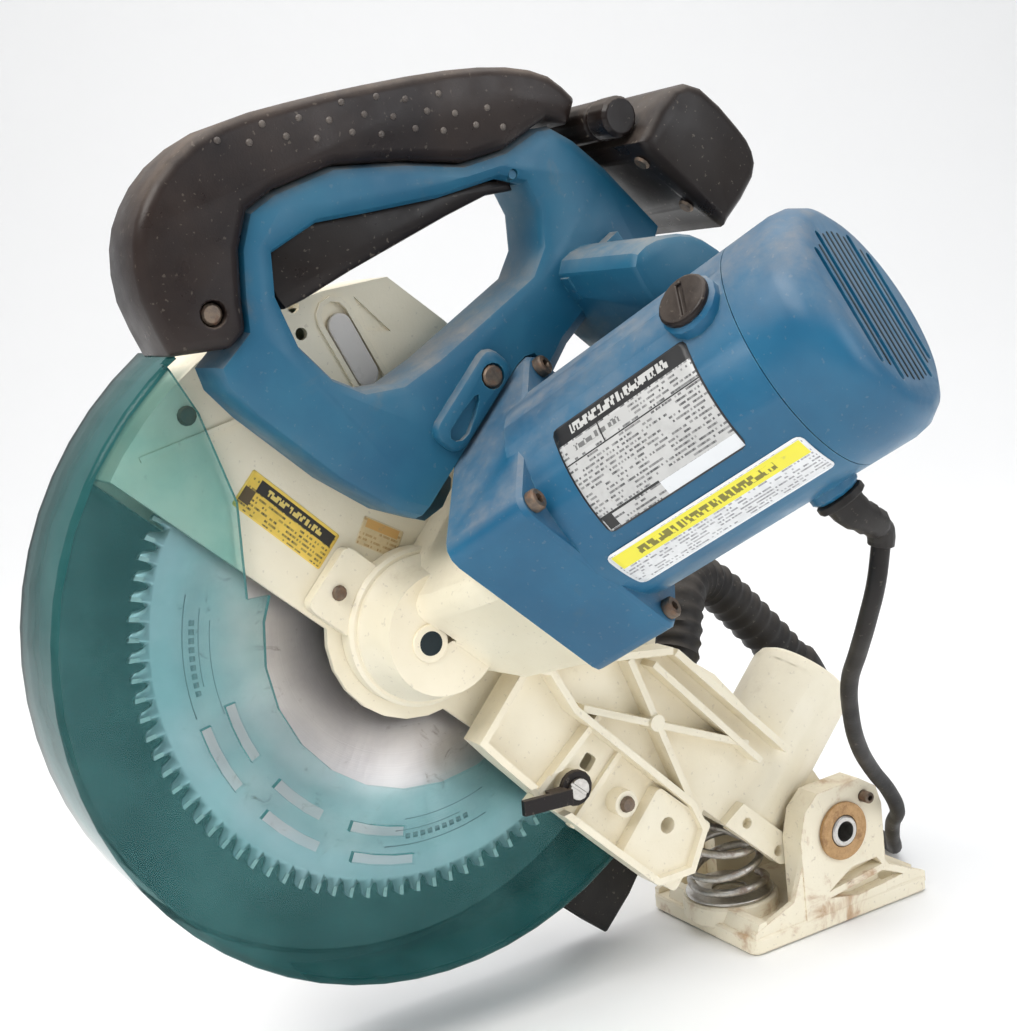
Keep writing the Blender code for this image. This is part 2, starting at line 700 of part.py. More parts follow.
def gear_housing():
    along = motor_frame()
    housing = stacked("gear_housing", [
        (20, counterclockwise(rounded_box_outline(-21, 34, -22, 20, 8))),
        (44, counterclockwise(rounded_box_outline(-21.5, 42, -36, 40, 9))),
        (78, counterclockwise(rounded_box_outline(-22, 45, -46, 47, 9))),
        (80.5, counterclockwise(rounded_box_outline(-45.5, 45.5, -48.5, 48.5, 8))),
        (FLANGE_START - GAP, counterclockwise(rounded_box_outline(-46, 46, -49, 49, 8))),
    ], ARBOR, cream_casting(), along, 24)
    join(housing,
         turned("gear_hub_flange", disc_profile(36, CASE_RIGHT - 5, 22, 1.5), ARBOR, None, IN_X, 24),
         turned("gear_hub", [(0, 5), (33, 5), (33, 24), (29, 30), (27.5, 42), (0, 42)], ARBOR, None,
                IN_X, 24),
         prism("gear_hub_rib", [(-2, -27), (2, -27), (2, 27), (-2, 27)], 30, 39, ARBOR),
         prism("gear_front_pad", rounded_box_outline(-52, -16, -22, 10, 4), 10, 19.5, ARBOR))
    sweep = turned("guard_sweep", ring_profile(70.5, 240, -60, 19.2), ARBOR, None, IN_X, 24)
    behind = prism("case_side", [(-260, -260), (260, -260), (260, 260), (-260, 260)],
                   -90, CASE_RIGHT + GAP, ARBOR)
    bores = [
        turned("gear_chamber", disc_profile(24.5, 24, 35.4), ARBOR, None, IN_X, 22),
        turned("bearing_seat", disc_profile(16.3, 5, 22.3), ARBOR, None, IN_X, 22),
        turned("seat_neck", disc_profile(12, 20, 26), ARBOR, None, IN_X, 16),
        turned("end_seat", disc_profile(5.4, 33, 38.8), ARBOR, None, IN_X, 16),
        prism("hub_end_hole", arc(5.2, 0, 300, 5), 36, 45, ARBOR),
        turned("pinion_chamber", disc_profile(10.5, 27, 64), ARBOR, None, along, 16),
        turned("motor_bearing_seat", disc_profile(13.3, 60, 78), ARBOR, None, along, 16),
        turned("motor_hollow", disc_profile(38, 74, 100), ARBOR, None, along, 22),
        turned("housing_screw_hole", disc_profile(2.2, 10, 30), ARBOR, None, at(0, -43, -9), 10),
    ]
    cut(housing, sweep, behind, *bores)
    return housing


def bearing(name, inner, outer, low, high, frame):
    """A sealed ball bearing, its shields set back between the two races."""
    groove = (inner + outer) / 2
    return turned(name, [(inner, low), (outer, low), (outer, high), (groove + 1.8, high),
                         (groove, high - 0.7), (groove - 1.8, high), (inner, high)],
                  ARBOR, steel(), frame, 16)


def bearings():
    along = motor_frame()
    bearing("spindle_bearing", 8.3, 16.0, 12.8, 22.0, IN_X)
    bearing("motor_front_bearing", 4.3, 13.0, 64.3, 73.7, along)
    bearing("motor_rear_bearing", 4.3, 11.0, 240.3, 248.0, along)


# ---------------------------------------------------------------- motor
BRUSH_S = 212.0
BRUSH_DIRECTION = (-0.985, -0.174)    # (b, n) from the motor's axis
CORD_S = 203.0
CORD_DIRECTION = (0.899, -0.438)


def in_motor(b, n, s):
    return motor_frame() @ Vector((b, n, s))


def radial_frame(direction, s, reach=0.0, side=1):
    """Third axis outward from the motor's axis, in the (b, n) direction."""
    b, n = direction[0] * side, direction[1] * side
    outward = motor_frame().to_3x3() @ Vector((b, n, 0))
    return frame_towards(in_motor(b * reach, n * reach, s), outward, in_motor(0, 0, 1))


def motor_housing():
    along = motor_frame()
    box = counterclockwise(motor_ring(47, -50, 50, 8))
    edge = counterclockwise(motor_ring(45.5, -48.5, 48.5, 7))
    housing = stacked("motor_housing", [(FLANGE_START, box), (FLANGE_END - 2, box), (FLANGE_END, edge)],
                      ARBOR, blue_plastic(), along, 30)
    tools = [turned("motor_barrel", disc_profile(MOTOR_R, FLANGE_END - 8, BARREL_END), ARBOR, None,
                    along, 28)]
    for side in (1, -1):
        tools.append(turned("brush_boss_%d" % side, disc_profile(12.5, 36, 54.5, 1.5), ARBOR, None,
                            radial_frame(BRUSH_DIRECTION, BRUSH_S, 0, side), 14))
    tools.append(turned("cord_boss", disc_profile(10.8, 36, 54, 1.5), ARBOR, None,
                        radial_frame(CORD_DIRECTION, CORD_S), 12))
    join(housing, *tools)
    cuts = [turned("motor_bore", disc_profile(MOTOR_R - 3.5, FLANGE_START - 5, BARREL_END + 5), ARBOR,
                   None, along, 28)]
    for side in (1, -1):
        cuts.append(turned("brush_hole_%d" % side, disc_profile(9.3, 30, 60), ARBOR, None,
                           radial_frame(BRUSH_DIRECTION, BRUSH_S, 0, side), 12))
    cuts.append(turned("cord_hole", disc_profile(6.3, 30, 60), ARBOR, None,
                       radial_frame(CORD_DIRECTION, CORD_S), 12))
    for b in (-40, 40):
        for n in (-42, 42):
            cuts.append(turned("flange_hole_%d_%d" % (b, n), disc_profile(2.6, FLANGE_START - 4, 130),
                               ARBOR, None, along @ Matrix.Translation((b, n, 0)), 10))
    cut(housing, *cuts)
    return housing


def motor_end_cap():
    along = motor_frame()
    start = BARREL_END + GAP
    cap = turned("motor_end_cap", [
        (46.3, start), (MOTOR_R, start), (MOTOR_R, CAP_END - 14), (MOTOR_R - 1.2, CAP_END - 8),
        (MOTOR_R - 5, CAP_END - 2.5), (MOTOR_R - 10, CAP_END), (0, CAP_END), (0, CAP_END - 3.4),
        (MOTOR_R - 10.6, CAP_END - 3.4), (MOTOR_R - 6.3, CAP_END - 6), (46.3, CAP_END - 12)],
        ARBOR, blue_plastic(), along, 28)
    join(cap, turned("bearing_boss", disc_profile(15, 238.5, CAP_END - 1), ARBOR, None, along, 20))
    cuts = [turned("bearing_pocket", disc_profile(11.3, 230, 248.6), ARBOR, None, along, 20)]
    turn = Matrix.Rotation(math.radians(-45), 4, "Z")
    for k in range(6):
        across = -27.5 + 11 * k
        if abs(across) < 6:
            continue
        half = math.sqrt(39.0 ** 2 - across ** 2) - 3
        cuts.append(prism("cap_slot_%d" % k, obround(0, across, 2 * half - 4, 2.0, 0, 4),
                          CAP_END - 8 if abs(across) > 16 else CAP_END - 2.6, CAP_END + 3, ARBOR, None,
                          along @ turn))
    cut(cap, *cuts)
    return cap


def fan_outline(hub, tip, blades):
    loop = []
    for k in range(blades):
        turn = 360 * k / blades
        for radius, shift in ((hub, 0.0), (tip, 8.0), (tip, 13.0), (hub, 6.0)):
            angle = math.radians(turn + shift)
            loop.append((radius * math.cos(angle), radius * math.sin(angle)))
    return loop


def motor_rotor():
    along = motor_frame()
    turned("armature", [(0, 34), (3.0, 34), (3.0, 44), (4.0, 46), (4.0, 138), (27, 138), (28, 140),
                        (28, 193), (27, 195), (4.0, 195), (4.0, 248.2), (0, 248.2)], ARBOR, copper(), along, 14)
    turned("commutator", ring_profile(4.3, 15, 196.5, 219, 0.8), ARBOR, copper(), along, 14)
    fan = turned("cooling_fan", disc_profile(41, 124, 126.5), ARBOR, black_plastic(), along, 16)
    blades = prism("fan_blades", fan_outline(9, 40, 9), 125.5, 134, ARBOR, None, along)
    cut(join(fan, blades), turned("fan_bore", disc_profile(4.3, 100, 150), ARBOR, None, along, 14))


def motor_stator():
    along = motor_frame()
    turned("stator", ring_profile(29.5, 46.2, 139, 194, 1.0), ARBOR, copper(), along, 14)
    for side, label in ((1, "front"), (-1, "rear")):
        frame = radial_frame(BRUSH_DIRECTION, BRUSH_S, 0, side)
        cap = turned("brush_cap_" + label,
                     [(0, 48.5), (8.9, 48.5), (8.9, 54.8), (11.2, 54.8), (11.2, 56.6), (10.4, 57.4),
                      (0, 57.4)], ARBOR, black_plastic(), frame, 20)
        cut(cap, prism("brush_slot_" + label, [(-8, -1.1), (8, -1.1), (8, 1.1), (-8, 1.1)], 56, 60,
                       ARBOR, None, frame))
        prism("carbon_brush_" + label, [(-4, -3), (4, -3), (4, 3), (-4, 3)], 15.4, 48, ARBOR, carbon(),
              frame)


def flange_screws():
    along = motor_frame()
    number = 0
    for b in (-40, 40):
        for n in (-42, 42):
            number += 1
            frame = along @ Matrix.Translation((b, n, 0))
            screw = turned("flange_screw_%d" % number,
                           [(0, 86), (2.3, 86), (2.3, FLANGE_END + GAP), (4.6, FLANGE_END + GAP),
                            (4.6, FLANGE_END + 3.4), (3.9, FLANGE_END + 4.2), (0, FLANGE_END + 4.2)],
                           ARBOR, rusty_steel(), frame, 12)
            cut(screw, prism("flange_socket_%d" % number, arc(2.2, 0, 300, 5), FLANGE_END + 1.6,
                             FLANGE_END + 6, ARBOR, None, frame))


# ---------------------------------------------------------------- rear arm
def bar_loop(start, end, half):
    along = (Vector(end) - Vector(start)).normalized()
    side = Vector((-along.y, along.x)) * half
    return [tuple(Vector(start) - side), tuple(Vector(end) - side), tuple(Vector(end) + side),
            tuple(Vector(start) + side)]


def rear_arm():
    """Plate with crossed ribs and a recessed channel, spring tube and hinge boss, in one casting."""
    low, high = ARM_PLATE
    lower_edge = [(48, -31), (64, -33), (96, -36), (143, -38), (176, -39), (192, -24)]
    plate = lower_edge + [(200, 4), (224, 30), (214, 56), (152, 64), (118, 60), (100, 44), (62, 19), (48, 12)]
    arm = prism("rear_arm", plate, low, high, ARBOR, cream_casting(), IN_X)
    channel = lower_edge + [(186, -2), (171, 5), (84, 9), (62, 17), (48, 11)]
    wall = prism("channel_wall", channel, low + 1, ARM_RIB_TOP + 1.5, ARBOR)
    pocket = prism("channel_pocket", offset_loop(counterclockwise(channel), -3.4), high - 0.2, 60, ARBOR)
    cut(wall, pocket)
    inner = [
        prism("channel_rib_1", bar_loop((92, -40), (100, 12), 1.6), high - 1, ARM_RIB_TOP - 3, ARBOR),
        prism("channel_rib_2", bar_loop((120, -38), (124, 8), 1.5), high - 1, ARM_RIB_TOP - 7, ARBOR),
        prism("channel_pad", rounded_box_outline(150, 190, -37, 1, 3), high - 1, ARM_RIB_TOP - 2.5, ARBOR),
        turned("channel_boss", disc_profile(6.5, high - 1, ARM_RIB_TOP - 1), ARBOR, None,
               at(0, 137, -15), 14),
        turned("link_boss", disc_profile(8.0, high - 1, ARM_RIB_TOP - 5), ARBOR, None,
               at(0, 108, -22), 14),
    ]
    ribs = [bar_loop((88, 10), (184, 44), 1.7), bar_loop((97, 42), (172, 3), 1.7),
            bar_loop((62, 19), (116, 58), 1.7), bar_loop((118, 58.5), (208, 54), 1.8),
            bar_loop((110, 47), (196, 41), 1.6)]
    for k, loop in enumerate(ribs):
        inner.append(prism("web_rib_%d" % k, loop, low + 0.5, ARM_RIB_TOP + 0.2 * k, ARBOR))
    inner.append(turned("rib_node", disc_profile(4.2, low + 1, ARM_RIB_TOP + 1.7), ARBOR, None,
                        at(0, 128, 25), 12))
    tube_frame = Matrix.Translation((0, SPRING_TUBE_B, 0))
    body = [
        turned("spring_tube", [(0, 5), (SPRING_TUBE_R - 1, 5), (SPRING_TUBE_R, 6), (SPRING_TUBE_R, 96),
                               (SPRING_TUBE_R - 2, 101), (SPRING_TUBE_R - 6, 103.5), (0, 103.5)],
               ARBOR, None, tube_frame, 22),
        turned("hinge_boss", disc_profile(19, -27, 28.2, 1.0), ARBOR, None, at(0, HINGE_B, HINGE_U), 24),
        prism("tube_bridge", [(168, -25), (198, -24), (203, 6), (214, 22), (214, 56), (190, 58),
                              (176, 20)], -24, 22, ARBOR),
        prism("boss_bridge", [(215, 8), (250, 17), (262, 30), (258, 52), (215, 64)], -20, 20, ARBOR),
        prism("tube_lug", [(199, 4.7), (243, 4.7), (248, 8), (247, 15), (236, 19), (203, 19)],
              14, 29, ARBOR),
    ]
    join(arm, wall, *inner, *body)
    cuts = [
        turned("spring_bore", disc_profile(23, -20, 98), ARBOR, None, tube_frame, 22),
        turned("spring_room", disc_profile(23.5, 8, 46), None, None,
               Matrix.Translation((0, SPRING_SEAT_Y - 0.5, 0)), 28),
        turned("hinge_pin_bore", disc_profile(8.3, -50, 50), ARBOR, None, at(0, HINGE_B, HINGE_U), 22),
        turned("channel_hole", disc_profile(4.2, 10, 60), ARBOR, None, at(0, 166, -12), 12),
        turned("boss_hole", disc_profile(2.3, 22, 60), ARBOR, None, at(0, 137, -15), 10),
        turned("link_hole", disc_profile(3.3, 10, 60), ARBOR, None, at(0, 108, -22), 10),
        prism("channel_window", rounded_box_outline(108, 115, -12, -4, 1.5, 2), 10, 60, ARBOR),
        turned("lug_hole_1", disc_profile(3.0, 24, 40), ARBOR, None, at(0, 211, 12), 10),
        turned("lug_hole_2", disc_profile(3.0, 24, 40), ARBOR, None, at(0, 238, 10), 10),
        prism("bracket_room", [(208, 5.6), (187, 5.6), (187, -10), (191.5, -16), (199, -24), (208, -32)],
              -45, 24.4, ARBOR),
    ]
    cut(arm, *cuts)
    return arm


def arm_pieces():
    link = turned("guard_link", ring_profile(3.6, 8.6, ARM_RIB_TOP - 4.6, ARM_RIB_TOP - 1.6, 0.5), ARBOR,
                  black_plastic(), at(0, 108, -22), 16)
    bar = prism("guard_link_bar", bar_loop((104, -27), (84, -44), 3.6), ARM_RIB_TOP + 1.9,
                ARM_RIB_TOP + 4.7, ARBOR)
    neck = prism("guard_link_neck", bar_loop((103.4, -27.4), (97, -33.3), 3.2), ARM_RIB_TOP - 4.4,
                 ARM_RIB_TOP + 4.5, ARBOR)
    lip = prism("channel_lip_notch", bar_loop((112, -15), (90, -43), 9.5), ARM_RIB_TOP - 4.9,
                ARM_RIB_TOP + 9, ARBOR)
    join(link, bar, neck)
    cut(link, turned("guard_link_bore", disc_profile(3.6, 20, 60), ARBOR, None, at(0, 108, -22), 14))
    cut(bpy.data.objects["rear_arm"], lip)
    screw = turned("link_pivot_screw",
                   [(0, 22), (3.0, 22), (3.0, ARM_RIB_TOP - 1.3), (5.2, ARM_RIB_TOP - 1.3),
                    (5.2, ARM_RIB_TOP + 0.9), (0, ARM_RIB_TOP + 0.9)], ARBOR, steel(),
                   at(0, 108, -22), 14)
    cut(screw, prism("link_screw_slot", [(-7, -0.7), (7, -0.7), (7, 0.7), (-7, 0.7)], ARM_RIB_TOP,
                     ARM_RIB_TOP + 3, ARBOR, None, at(0, 108, -22)))
    turned("channel_screw", [(0, 26), (2.0, 26), (2.0, ARM_RIB_TOP - 0.7), (4.2, ARM_RIB_TOP - 0.7),
                             (3.2, ARM_RIB_TOP + 1.6), (0, ARM_RIB_TOP + 1.6)], ARBOR, steel(),
           at(0, 137, -15), 12)
    turned("housing_screw", [(0, 13), (1.9, 13), (1.9, 19.8), (3.6, 19.8), (2.8, 21.7), (0, 21.7)],
           ARBOR, steel(), at(0, -43, -9), 12)
    turned("case_screw", [(0, 9), (2.0, 9), (2.0, CASE_RIGHT + 0.3), (4.4, CASE_RIGHT + 0.3),
                          (3.4, CASE_RIGHT + 2.3), (0, CASE_RIGHT + 2.3)], ARBOR, steel(),
           at(0, -140, 16), 12)


# ---------------------------------------------------------------- handle, trigger and lamp
SEAM = [(-154, 39), (-153, 48), (-162, 58), (-173, 72), (-179, 86), (-175, 99), (-161, 123),
        (-138, 144), (-116, 161), (-104, 178), (-99, 190)]
GRIP_BACK = [(-90, 217), (-106, 216), (-123, 206), (-144, 186), (-168, 158), (-190, 130), (-207, 105),
             (-214, 82), (-213, 63), (-207, 48), (-193, 33), (-172, 22)]
OPENING = [(-161, 80), (-150, 67), (-131, 57), (-112, 55), (-98, 59), (-86, 71), (-79, 89), (-71, 117),
           (-63, 144), (-66, 157), (-76, 168), (-88, 173), (-99, 167), (-116, 143), (-136, 120),
           (-153, 101)]
TRIGGER_BACK = [(-163, 86), (-152.5, 103), (-136.2, 122), (-117, 144), (-99.5, 165.5), (-92, 172)]
TRIGGER_FRONT = [(-88, 170), (-97, 160), (-107, 141), (-118, 118.5), (-128.5, 96.5), (-138, 75),
                 (-142.5, 66.8), (-148, 68), (-156, 72.5)]
TRIGGER_PIVOT = (-95.0, 172.0)


def seam_loop(shift):
    """The seam between the blue frame and the black grip, moved towards the frame by the shift."""
    curve = smooth_path(SEAM, 1)
    moved = []
    for i, here in enumerate(curve):
        ahead = curve[min(i + 1, len(curve) - 1)] - curve[max(i - 1, 0)]
        ahead.normalize()
        moved.append(tuple(here + Vector((ahead.y, -ahead.x)) * shift))
    return moved


def handle_frame():
    low, high = HANDLE_MID - HANDLE_HALF, HANDLE_MID + HANDLE_HALF
    lower = [(-154, 30), (-146, 25), (-130, 23), (-87, 22.5), (-58, 26), (-42, 32), (-33, 44), (-28, 60),
             (-25, 88), (-28, 111), (-30, 131), (-28, 150), (-20, 162), (-16, 186), (-22, 203),
             (-60, 205), (-80, 204), (-92, 201), (-97.5, 195)]
    outline = [tuple(p) for p in smooth_path(lower, 1)] + list(reversed(seam_loop(0.2)))[1:-1]
    frame = rounded_prism("handle_frame", outline, low, high, 6.0, ARBOR, blue_plastic(), IN_X, 2)
    neck = rounded_prism("handle_neck", smooth_loop([
        (-53, 152), (-30, 146), (-10, 145), (4, 151), (9, 166), (4, 179), (-8, 184.5), (-24, 184.5),
        (-37, 181), (-47, 173), (-54, 163)], 2), 34, 116, 4.0, ARBOR, None, IN_X, 2)
    boss = rounded_prism("handle_boss", rounded_box_outline(-66, -49, 60, 106, 6), high - 8, high + 5,
                         3.0, ARBOR, None, IN_X, 2)
    rib = prism("neck_rib", bar_loop((-46, 149), (-37.5, 181), 5.5), high - 6, high + 6, ARBOR)
    join(frame, neck, boss, rib)
    along = motor_frame()
    swept_back = [(-171, 90), (-158, 108), (-140, 126), (-119.5, 147), (-101, 168), (-94, 177)]
    cuts = [
        flared_cutter("handle_opening", smooth_loop(OPENING, 1), low, high, 5.0, ARBOR, IN_X, 2),
        prism("trigger_pocket", swept_back + [(-84, 170), (-104, 136), (-130, 100), (-145, 70),
                                              (-160, 71)], 33.4, 52.6, ARBOR),
        prism("motor_clearance", motor_ring(47.4, -50.4, 50.4, 8), 60, FLANGE_END + GAP, ARBOR, None, along),
        prism("gear_clearance", rounded_box_outline(-46.5, 60, -49.5, 49.5, 5), 77, 95, ARBOR, None, along),
        prism("gear_clearance_low", rounded_box_outline(-22.6, 60, -60, 48, 5), -40, 90, ARBOR, None, along),
        turned("barrel_clearance", disc_profile(MOTOR_R + 0.4, 110, 240), ARBOR, None, along, 28),
        turned("boss_clearance", disc_profile(13.2, 0, 56), ARBOR, None,
               radial_frame(BRUSH_DIRECTION, BRUSH_S), 12),
        turned("boss_screw_hole", disc_profile(2.5, 40, 80), ARBOR, None, at(0, -56.5, 96), 10),
        turned("boss_screw_seat", disc_profile(5.6, high + 2, 90), ARBOR, None, at(0, -56.5, 96), 14),
        prism("boss_teardrop", smooth_loop([(-60, 66), (-55, 64), (-52, 70), (-56, 84), (-59, 84)], 2),
              high + 2.2, 90, ARBOR),
        turned("trigger_eye_room", disc_profile(5.2, 33.4, 52.6), ARBOR, None, at(0, *TRIGGER_PIVOT), 14),
        turned("trigger_pin_hole", disc_profile(2.3, 20, 70), ARBOR, None, at(0, *TRIGGER_PIVOT), 10),
    ]
    for b, n in ((-40, -42), (-40, 42)):
        cuts.append(turned("screw_clearance_%d" % n, disc_profile(6.5, 85, 150), ARBOR, None,
                           along @ Matrix.Translation((b, n, 0)), 12))
    cut(frame, *cuts)
    return frame


def grip_cover():
    back = [tuple(p) for p in smooth_path(GRIP_BACK, 2)]
    seam = seam_loop(-0.2)
    outline = back + seam[:-1] + [(-96.5, 200), (-86, 206)]
    cover = rounded_prism("grip_cover", outline, HANDLE_MID - HANDLE_HALF - 2, HANDLE_MID + HANDLE_HALF + 2,
                          5.0, ARBOR, black_plastic(), IN_X, 3)
    cut(cover, turned("grip_screw_seat", disc_profile(5.2, HANDLE_MID + HANDLE_HALF - 3, 80), ARBOR, None,
                      at(0, -168, 45), 14))
    return cover


def handle_pieces():
    high = HANDLE_MID + HANDLE_HALF
    turned("grip_screw", [(0, high - 2.7), (4.4, high - 2.7), (4.4, high - 0.8), (3.4, high), (0, high)],
           ARBOR, rusty_steel(), at(0, -168, 45), 12)
    turned("handle_screw", [(0, 42), (2.2, 42), (2.2, high + 2.3), (4.8, high + 2.3), (4.8, high + 4.6),
                            (4.0, high + 5.6), (0, high + 5.6)], ARBOR, rusty_steel(), at(0, -56.5, 96), 12)
    pivot = empty("trigger_axis", ARBOR, (HANDLE_MID, *TRIGGER_PIVOT))
    loop = [(b - TRIGGER_PIVOT[0], u - TRIGGER_PIVOT[1]) for b, u in
            TRIGGER_BACK + TRIGGER_FRONT]
    trigger = rounded_prism("trigger", loop, -8.8, 8.8, 1.6, pivot, black_plastic(), IN_X, 2)
    join(trigger, turned("trigger_eye", disc_profile(4.2, -8.6, 8.6), pivot, None, IN_X, 12))
    cut(trigger, turned("trigger_bore", disc_profile(2.3, -20, 20), pivot, None, IN_X, 10))
    turned("trigger_pin", disc_profile(2.0, HANDLE_MID - 15.5, HANDLE_MID + 15.5), ARBOR, steel(),
           at(0, *TRIGGER_PIVOT), 10)


LAMP_LOW = (-6.0, -66.0, 208.2)
LAMP_HIGH = (88.0, -10.0, 248.0)


def lamp():
    side = [(-60, 208), (-15, 208), (-10, 213), (-10, 236), (-17, 245), (-30, 248), (-55, 248), (-66, 238),
            (-66, 214)]
    loop = [tuple(p) for p in smooth_loop(side, 2)]
    loop = [(b, max(u, LAMP_LOW[2])) for b, u in loop]
    box = rounded_prism("lamp_box", loop, LAMP_LOW[0], LAMP_HIGH[0], 4.5, ARBOR, black_plastic(), IN_X, 3)
    lens_room = prism("lens_room", rounded_box_outline(-3, 23, -60, -23, 3), 200, 211.5, ARBOR, None, IN_Z)
    cut(box, lens_room,
        turned("lamp_screw_hole_1", disc_profile(2.0, 200, 222), ARBOR, None,
               Matrix.Translation((78, -56, 0)), 10),
        turned("lamp_screw_hole_2", disc_profile(2.0, 200, 222), ARBOR, None,
               Matrix.Translation((78, -27, 0)), 10))
    prism("lamp_lens", rounded_box_outline(-2.6, 22.6, -59.6, -23.4, 2.6), 207.6, 211.1, ARBOR,
          lens_plastic(), IN_Z)
    for k, b in enumerate((-56, -27)):
        turned("lamp_screw_%d" % (k + 1), [(0, 219), (0, 206.4), (3.0, 206.4), (3.8, 207.7), (1.7, 207.9),
                                           (1.7, 219)], ARBOR, rusty_steel(),
               Matrix.Translation((78, b, 0)), 10)
    stub = turned("lamp_switch_barrel", [(0, 12), (8.6, 12), (8.6, 61), (7.8, 62), (7.8, 64), (8.9, 65),
                                         (8.9, 75.5), (7.4, 77.5), (0, 77.5)], ARBOR, black_plastic(),
                  at(0, -75.5, 216.5), 16)
    return stub


# ---------------------------------------------------------------- dust boot, hose and cord
def swept_mesh(name, rings, parent, mat, smooth_deg=50):
    """A closed solid through rings of points of equal count, capped at both ends."""
    bm = bmesh.new()
    loops = [[bm.verts.new(point) for point in ring] for ring in rings]
    count = len(loops[0])
    for low, high in zip(loops, loops[1:]):
        for i in range(count):
            j = (i + 1) % count
            bm.faces.new((low[i], low[j], high[j], high[i]))
    bm.faces.new(list(reversed(loops[0])))
    bm.faces.new(loops[-1])
    return finish_mesh(name, bm, parent, mat, IN_Z, smooth_deg)


def ring_round(centre, direction, radius, sides):
    frame = frame_towards(centre, direction)
    return [
        tuple(frame @ Vector((radius * math.cos(2 * math.pi * k / sides),
                              radius * math.sin(2 * math.pi * k / sides), 0)))
        for k in range(sides)
    ]


def dust_boot():
    side = [(157, -69), (202, -69), (203, -46), (201, -25.8), (168, -25.8), (161, -50)]
    boot = rounded_prism("dust_boot", side, -40, -14, 2.5, ARBOR, black_rubber(), IN_X, 2)
    cut(boot, prism("boot_hollow", [(161, -80), (198, -80), (199, -46), (197, -30), (172, -30),
                                    (165, -50)], -36.8, -17.2, ARBOR))
    shelf = prism("boot_shelf", [(169, -25.3), (198, -25.3), (190, -16), (186, -12), (174, -12)], -38, -16, ARBOR)
    join(bpy.data.objects["rear_arm"], shelf)
    return boot


def dust_hose():
    """A ribbed rubber hose from the case's rear, with a thicker cuff round its open end."""
    path = smooth_path([(-14, 135.2, 50), (-14.5, 148, 53), (-17, 156, 65), (-22, 154, 80), (-30, 151, 97),
                        (-41, 156, 112), (-49, 171, 121), (-51, 192, 122.4), (-51.5, 214, 121),
                        (-52, 238, 119), (-52, 258, 116), (-52, 276, 110)], 3)
    count = len(path) - 1
    rings = []
    for i, here in enumerate(path):
        ahead = path[min(i + 1, count)] - path[max(i - 1, 0)]
        radius = 13.0 if i < 2 or i % 2 else 11.7
        if i > count - 4:
            radius = 15.0
        rings.append(ring_round(here, ahead, radius, 14))
    inward = (path[count - 1] - path[count]).normalized()
    for depth in (0, 16):
        rings.append(ring_round(path[-1] + inward * depth, -inward, 10.2, 14))
    return swept_mesh("dust_hose", rings, ARBOR, black_rubber())


# ---------------------------------------------------------------- cord, in the row frame
CORD_EXIT = (163.0, -70.0, 222.0)
CORD_ROUTE = [
    CORD_EXIT, (161, -72, 207), (153, -71, 190), (138, -64, 172), (120, -54, 154), (102, -39, 132),
    (84, -20, 108), (68, 2, 86), (57, 22, 67), (46, 37, 50), (30, 48, 36), (17, 59, 21), (5, 71, 9),
    (-9, 80, 4.5), (-28, 86.5, 4.3), (-61.5, 92.6, 4.3), (-110.8, 101.3, 4.3)]
COIL_CENTRE = (-122.0, 38.0)
PLUG_TAIL = (-136.6, -27.4, 11.3)
PLUG_DIRECTION = (0.866, -0.5, 0)


def strain_relief():
    """A tapered rubber sleeve from the boss on the motor down to the cord."""
    root = radial_frame(CORD_DIRECTION, CORD_S)
    start = root @ Vector((0, 0, 54.4))
    inside = root @ Vector((0, 0, 45.0))
    outward = (start - inside).normalized()
    row_to_head = (Matrix.Rotation(math.radians(RAISED_DEG), 3, "X"))
    end = row_to_head @ (Vector(CORD_EXIT) - Vector((0, 0, HINGE_HEIGHT)))
    end += Vector((0, HINGE_B, HINGE_U))
    leave = row_to_head @ (Vector(CORD_ROUTE[1]) - Vector(CORD_ROUTE[0])).normalized()
    count = 10
    rings = [ring_round(inside, outward, 6.0, 12), ring_round(start + outward * 0.3, outward, 6.0, 12),
             ring_round(start + outward * 0.35, outward, 10.5, 12),
             ring_round(start + outward * 3.6, outward, 10.5, 12)]
    low = start + outward * 3.7
    for i in range(count + 1):
        t = i / count
        first, second = low + outward * 12, end - leave * 14
        here = (1 - t) ** 3 * low + 3 * (1 - t) ** 2 * t * first + 3 * (1 - t) * t ** 2 * second + t ** 3 * end
        ahead = ((1 - t) ** 2 * (first - low) + 2 * (1 - t) * t * (second - first) + t ** 2 * (end - second))
        radius = 8.0 - 2.4 * t
        if 2 <= i <= count - 2 and i % 2:
            radius -= 0.9
        rings.append(ring_round(here, ahead, radius, 12))
    return swept_mesh("cord_strain_relief", rings, ARBOR, black_rubber())


def power_cord():
    rubber = black_rubber()
    route = smooth_path(CORD_ROUTE, 2)
    for point in route:
        point.z = max(point.z, CORD_R + 0.2)
    first = (route[1] - route[0]).normalized()
    route[0] = route[0] + first * GAP
    swept("power_cord", route, CORD_R, None, rubber, 2)
    ring = []
    for k in range(12):
        turn = 2 * math.pi * k / 12
        ring.append((COIL_RING_R + COIL_BUNDLE_R * math.cos(turn),
                     COIL_BUNDLE_R + 0.1 + COIL_BUNDLE_R * math.sin(turn)))
    turned("cord_coil", ring, None, rubber, Matrix.Translation((*COIL_CENTRE, 0)), 20)


